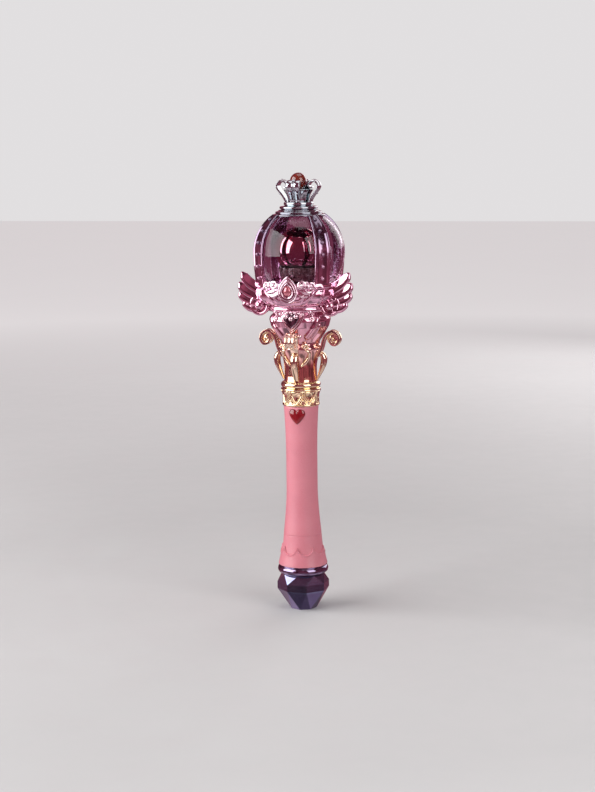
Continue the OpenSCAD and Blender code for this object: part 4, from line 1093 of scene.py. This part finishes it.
def half_shell():
    foot = low("handle_front_shell")
    top_z = high("handle_front_shell")
    out = [[12.9, foot], [12.9, Z_GRIP - 0.02], [14.1, Z_GRIP + 0.0], [14.3, Z_GRIP + 0.25]]
    out += grip_points(Z_GRIP + 0.6, Z_NECK - 0.45, 70)
    out += [[GRIP_TOP_R - 0.15, Z_NECK - 0.12], [GRIP_TOP_R - 0.4, Z_NECK], [10.4, Z_NECK], [10.4, top_z]]
    ins = [[12.9 - SHELL, foot], [12.9 - SHELL, Z_GRIP + 1.5]]
    ins += grip_points(Z_GRIP + 4.3, Z_NECK - 4.5, 30, -SHELL)
    ins += [[11.5, Z_NECK - 1.5], [9.1, Z_NECK - 1.2], [9.1, top_z]]
    return lathe(out + ins[::-1], 72, -89.9, 179.8)


BUTTON_Z = (low("heart_button") + high("heart_button")) / 2
HEART_W, HEART_H, HEART_GAP = 12.0, 11.4, 0.4


def prism(outline, y_near, y_far):
    o = np.array(outline, float)
    n = len(o)
    verts = np.vstack([np.stack([o[:, 0], np.full(n, y), o[:, 1]], 1) for y in (-y_near, -y_far)])
    return verts, grid_faces(2, n) + ends(2, n)


def post(y_from, y_to, radius, z):
    """A round boss along Y."""
    return prism(ring_of(radius, 40, (0, z)), -y_from, -y_to)


front_shell = piece("grip_shell_front", half_shell(), pink, ["handle_front_shell"])
cut(front_shell, prism(above(BUTTON_Z, heart_line(HEART_W + HEART_GAP, HEART_H + HEART_GAP)), 4, 20))
ease_edges(front_shell, 0.22, 3, 35)

DOOR_GAP = 0.3
DOOR_HALF = high("battery_door", 0) + DOOR_GAP
DOOR_LOW, DOOR_HIGH = low("battery_door") - DOOR_GAP, high("battery_door") + DOOR_GAP


def rounded_box(half_x, z_low, z_high, radius):
    corners = [[-half_x, z_low], [half_x, z_low], [half_x, z_high], [-half_x, z_high]]
    return rounded(corners, radius, 8, closed=True)


back_shell = piece("grip_shell_back", spin(half_shell(), 180), pink, ["handle_back_shell"])
cut(back_shell, prism(rounded_box(DOOR_HALF, DOOR_LOW, DOOR_HIGH, 1.6), -1, -24))
ease_edges(back_shell, 0.2, 3, 35)
SHELL_SCREW_Z = Z_GRIP + 69
cut(back_shell, post(7, 30, 2.1, SHELL_SCREW_Z))


def heart_solid():
    """The domed heart that is pressed, on its flange and stem."""
    def place(x, z, h):
        y = np.sqrt(np.maximum((grip_r(BUTTON_Z) - 0.1) ** 2 - (np.asarray(x) * 0.75) ** 2, 1.0))
        return np.stack([np.asarray(x), -(y + h), np.asarray(z)], -1)

    rings = [(1.0, -1.2), (1.0, 0.05), (0.985, 0.3), (0.95, 0.52), (0.88, 0.78), (0.75, 1.05), (0.55, 1.27),
             (0.3, 1.4), (0.0, 1.44)]
    line = above(BUTTON_Z, rounded(heart_line(HEART_W, HEART_H), 0.35, 3, closed=True))
    dome = plaque(line, rings, place, (0, BUTTON_Z + 0.8), back=-2.6)
    flange = prism(above(BUTTON_Z, heart_line(HEART_W + 1, HEART_H + 1)), 7.8, 8.6)
    stem = post(-7.9, high("heart_button", 1), 1.8, BUTTON_Z)
    return join(dome, flange, stem)


piece("heart_press", heart_solid(), heart_red, ["heart_button"], body="heart_button", sharp=50)

DOOR_SCREW_Z = (low("battery_door_screw") + high("battery_door_screw")) / 2


def door_solid():
    """The door's curved wall, with a row of nine fine grip ridges."""
    z = np.linspace(DOOR_LOW + DOOR_GAP, DOOR_HIGH - DOOR_GAP, 200)[:, None]
    half_x = DOOR_HALF - DOOR_GAP
    u = np.linspace(-1, 1, 61)
    ridge = np.zeros((len(z), len(u)))
    for k in range(9):
        rise = 0.35 * np.clip(1 - ((z - DOOR_LOW - 6 - 2.0 * k) / 0.5) ** 2, 0, 1)
        ridge = np.maximum(ridge, rise * np.clip((5.2 - np.abs(u * half_x)) / 0.8, 0, 1))
    r_out = grip_r(z)
    r_in = r_out - SHELL
    edge_out, edge_in = (np.arcsin(half_x / np.maximum(r, half_x + 0.05)) for r in (r_out, r_in))
    skins = [polar(edge_out * u, r_out + ridge, z), polar(edge_in * u[::-1], r_in, z)]
    rows, m = len(z), 2 * len(u)
    return spin((np.concatenate(skins, axis=1).reshape(-1, 3), grid_faces(rows, m) + ends(rows, m)), 180)


door = piece("cell_door", door_solid(), pink, ["battery_door"], body="battery_door", sharp=50)
cut(door, post(7.2, 11.0, 3.2, DOOR_SCREW_Z), "UNION")
for y_from, radius in ((8.9, 2.2), (2, 1.2)):
    cut(door, post(y_from, 30, radius, DOOR_SCREW_Z))

# ---- Cuff, ring and gem ----

CUFF_R, SKIRT_T, LOBE_R = 18.7, 0.8, 6.1
SKIRT_Z = Z_CUFF + 15.5


def cuff_r(z):
    line = np.array(quad((GRIP_FOOT_R, Z_GRIP), (15, Z_CUFF + 11), (CUFF_R - SKIRT_T, Z_CUFF), 60))
    order = np.argsort(line[:, 1])
    return np.interp(z, line[order, 1], line[order, 0])


def lobe_edge(angle):
    """Height of the skirt's top edge: eight hanging arcs with points between them."""
    local = (math.degrees(angle) % 45) - 22.5
    r = float(cuff_r(SKIRT_Z - 4)) + 0.8
    x = min(abs(math.radians(local)) * r, LOBE_R - 0.02)
    return SKIRT_Z - math.sqrt(LOBE_R**2 - x**2)


def cuff():
    out = [[CUFF_R - SKIRT_T - 0.3, Z_CUFF + 0.02]]
    out += [[float(cuff_r(z)), z] for z in np.linspace(Z_CUFF, Z_GRIP - 0.5, 60)]
    out += above(Z_GRIP, [(GRIP_FOOT_R - 0.1, -0.12), (GRIP_FOOT_R - 0.4, 0), (12.95, 0), (12.95, -14.05),
                          (11.05, -14.05)])
    base = lathe(out + [[11.05, Z_CUFF + 0.02]], 160)
    angles = np.radians(np.arange(0, 360, 0.75))
    verts = []
    for a in angles:
        # The points between the arcs are blunted a little
        edge = lobe_edge(a) - 0.5 * math.exp(-(((math.degrees(a) + 22.5) % 45 - 22.5) / 1.2) ** 2)
        levels = [(Z_CUFF + 0.02, SKIRT_T - 0.35), (Z_CUFF + 0.35, SKIRT_T - 0.05), (Z_CUFF + 0.8, SKIRT_T)]
        levels += [(z, SKIRT_T) for z in np.linspace(Z_CUFF + 1.6, edge - 1.5, 12)]
        levels += [(edge - 1.1, SKIRT_T + 0.12), (edge - 0.75, SKIRT_T + 0.34), (edge - 0.4, SKIRT_T + 0.38),
                   (edge - 0.12, SKIRT_T + 0.16), (edge, SKIRT_T - 0.3), (edge + 0.02, -0.3)]
        levels += [(z, -0.3) for z in np.linspace(edge - 0.5, Z_CUFF + 0.02, 6)]
        verts += [polar(a, float(cuff_r(z)) + h, z) for z, h in levels]
    rows = len(angles)
    m = len(verts) // rows
    return join(base, (np.array(verts), grid_faces(rows, m, wrap_rows=True)))


piece("cuff_skirt", cuff(), pink, ["handle_cuff"], sharp=40)

ring_h = Z_CUFF - Z_RING
plug_low, plug_high = low("pommel_ring"), high("pommel_ring")
ring_outline = above(Z_RING, [(16.4, 0.02), (17.2, 0.15)]
                     + arc((15.9, ring_h * 0.48), ring_h * 0.47, -58, 56, 26))
ring_outline += above(Z_CUFF, [(18.3, -0.35), (18.2, -0.02), (11.0, -0.02)])
ring_outline += [(11.0, plug_high), (9.6, plug_high), (9.6, plug_low), (11.9, plug_low),
                 (11.9, Z_RING + 0.02)]
piece("plum_ring", lathe(rounded(ring_outline, 0.2, 3, closed=True, limit=25), 144), ring_chrome,
      ["pommel_ring"], sharp=45)


def gem():
    """An eight-sided cut: table, crown facets, plain belt and a pavilion of triangles."""
    levels = [(10.3, 0.0, 0.0), (19.9, Z_RING * 0.565, 22.5), (19.9, Z_RING * 0.755, 22.5),
              (16.5, Z_RING, 0.0)]
    bm = bmesh.new()
    for r, z, turn in levels:
        for a in np.radians(45 * np.arange(8) + turn):
            bm.verts.new((r * math.cos(a), r * math.sin(a), z))
    bmesh.ops.convex_hull(bm, input=bm.verts)
    bmesh.ops.dissolve_limit(bm, angle_limit=math.radians(0.5), verts=bm.verts, edges=bm.edges)
    bm.verts.ensure_lookup_table()
    bm.verts.index_update()
    solid = (np.array([v.co[:] for v in bm.verts]), [tuple(v.index for v in f.verts) for f in bm.faces])
    bm.free()
    return solid


gem_piece = piece("gem_pommel", gem(), gem_plating, ["pommel_gem"], sharp=5)
# Hollow for the ring's plug
cut(gem_piece, lathe([[0.01, 18.5], [12, 18.5], [12, 40], [0.01, 40]]))
gem_piece.data.shade_flat()
ease_edges(gem_piece, 0.28, 2, 10)

# ---- CAD nodes that stay, with their own finishes ----

STAYS = {"globe_floor": head_chrome, "lamp_board": board_finish(), "lamps": lamp_clear,
         "lamp_leads": lead_finish(), "switch_plunger": black, "switch_body": grey,
         "circuit_board": board_finish(), "battery_tray": grey, "battery_cells": cell_finish(),
         "battery_contacts": steel, "battery_leads": lead_finish(), "battery_door_screw": steel,
         "case_screws": steel}
for node, material in STAYS.items():
    for material_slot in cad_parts[node].material_slots:
        material_slot.material = material

# ---------------------------------------------------------------- stage, light and camera


def floor_finish():
    f = Finish("floor_pale", IOR=1.45, Specular_IOR_Level=0.3)
    f.put(Base_Color=f.ramp(f.noise(3, 4), [(0.3, (0.60, 0.59, 0.59)), (0.7, (0.63, 0.62, 0.62))]),
          Roughness=f.spread(40, 3, 0.5, 0.65))
    # The far floor, beyond the lights' reach, is lifted so that it meets the background evenly
    reach = f.node("ShaderNodeVectorMath", {0: f.coords}, operation="LENGTH").outputs["Value"]
    f.shader.inputs["Emission Color"].default_value = (1.0, 0.98, 0.985, 1)
    return f.put(Emission_Strength=f.remap(reach, 0.35, 2.2, 0.0, 0.56)).material


floor_mesh = bpy.data.meshes.new("floor")
floor_mesh.from_pydata([(x, y, 0) for x, y in ((-6, -6), (6, -6), (6, 6), (-6, 6))], [], [(0, 1, 2, 3)])
floor_mesh.materials.append(floor_finish())
floor = add_object("floor", floor_mesh)
floor.visible_glossy = False
floor.visible_transmission = False

world = bpy.data.worlds.new("studio")
bpy.context.scene.world = world
world.use_nodes = True
sky = Nodes(world.node_tree, "Generated")
rays = sky.node("ShaderNodeLightPath")


def backdrop(colour, strength):
    return sky.node("ShaderNodeBackground", {"Color": colour, "Strength": strength}).outputs["Background"]


def for_ray(kind, shader, others):
    """One shader for that kind of ray, and another for the rest."""
    chooser = sky.node("ShaderNodeMixShader", {"Fac": rays.outputs[kind], 1: others, 2: shader})
    return chooser.outputs["Shader"]


# Reflections see a darker room than the floor and the matt parts do: a dark red cloth, with folds some deeper
# and some catching the light, and from below the pale table in front of it
rise = sky.remap(sky.axis("Z"), -1.0, 0.1, 0.0, 1.0)
cloth_colour = sky.ramp(rise, [(0.35, (0.70, 0.54, 0.61)), (0.62, (0.26, 0.075, 0.115))])
folds = sky.remap(sky.noise(2.6, 2.0, 0.5, 0.8), 0.36, 0.64, 0.3, 1.6)
matt = sky.tree.nodes["Background"]
matt.inputs["Color"].default_value = (0.92, 0.90, 0.92, 1)
matt.inputs["Strength"].default_value = 0.17
shader = for_ray("Is Glossy Ray", backdrop(cloth_colour, folds), matt.outputs["Background"])
# What shows through the clear globe is the deeper cloth behind it
shader = for_ray("Is Transmission Ray", backdrop((0.155, 0.036, 0.068, 1), 1.0), shader)
shader = for_ray("Is Camera Ray", backdrop((0.86, 0.84, 0.85, 1), 0.88), shader)
sky.tree.links.new(shader, sky.tree.nodes["World Output"].inputs["Surface"])
bpy.context.scene.view_settings.view_transform = "Standard"

AIM = Vector((0, 0, 0.17))


def softbox(name, toward, distance_m, size, power):
    light = bpy.data.lights.new(name, "AREA")
    light.shape = "RECTANGLE"
    light.size, light.size_y = size
    light.energy = power
    obj = add_object(name, light)
    direction = Vector(toward).normalized()
    obj.location = AIM + direction * distance_m
    obj.rotation_euler = (-direction).to_track_quat("-Z", "Y").to_euler()


softbox("soft_left", (-0.803, -0.464, 0.375), 1.3, (1.4, 1.35), 24)
softbox("soft_right", (0.757, -0.511, 0.407), 1.3, (0.8, 1.15), 8)
softbox("soft_top", (0.1, 0.1, 1.0), 1.5, (1.1, 1.1), 5)
softbox("soft_back", (0.3, 0.95, 0.35), 1.6, (1.2, 0.9), 6)

camera_data = bpy.data.cameras.new("camera")
camera_data.sensor_fit = "AUTO"
camera_data.sensor_width = 36.0
camera_data.lens = 78.54545
camera = add_object("camera", camera_data)
camera.location = (0.344, -1.240, 0.355)
azimuth = math.radians(15.5)
target = Vector((-0.00265 * math.cos(azimuth), -0.00265 * math.sin(azimuth), 0.1631))
look = (target - camera.location).to_track_quat("-Z", "Y").to_matrix().to_4x4()
camera.rotation_euler = (look @ Matrix.Rotation(math.radians(-0.73), 4, "Z")).to_euler()
bpy.context.scene.camera = camera
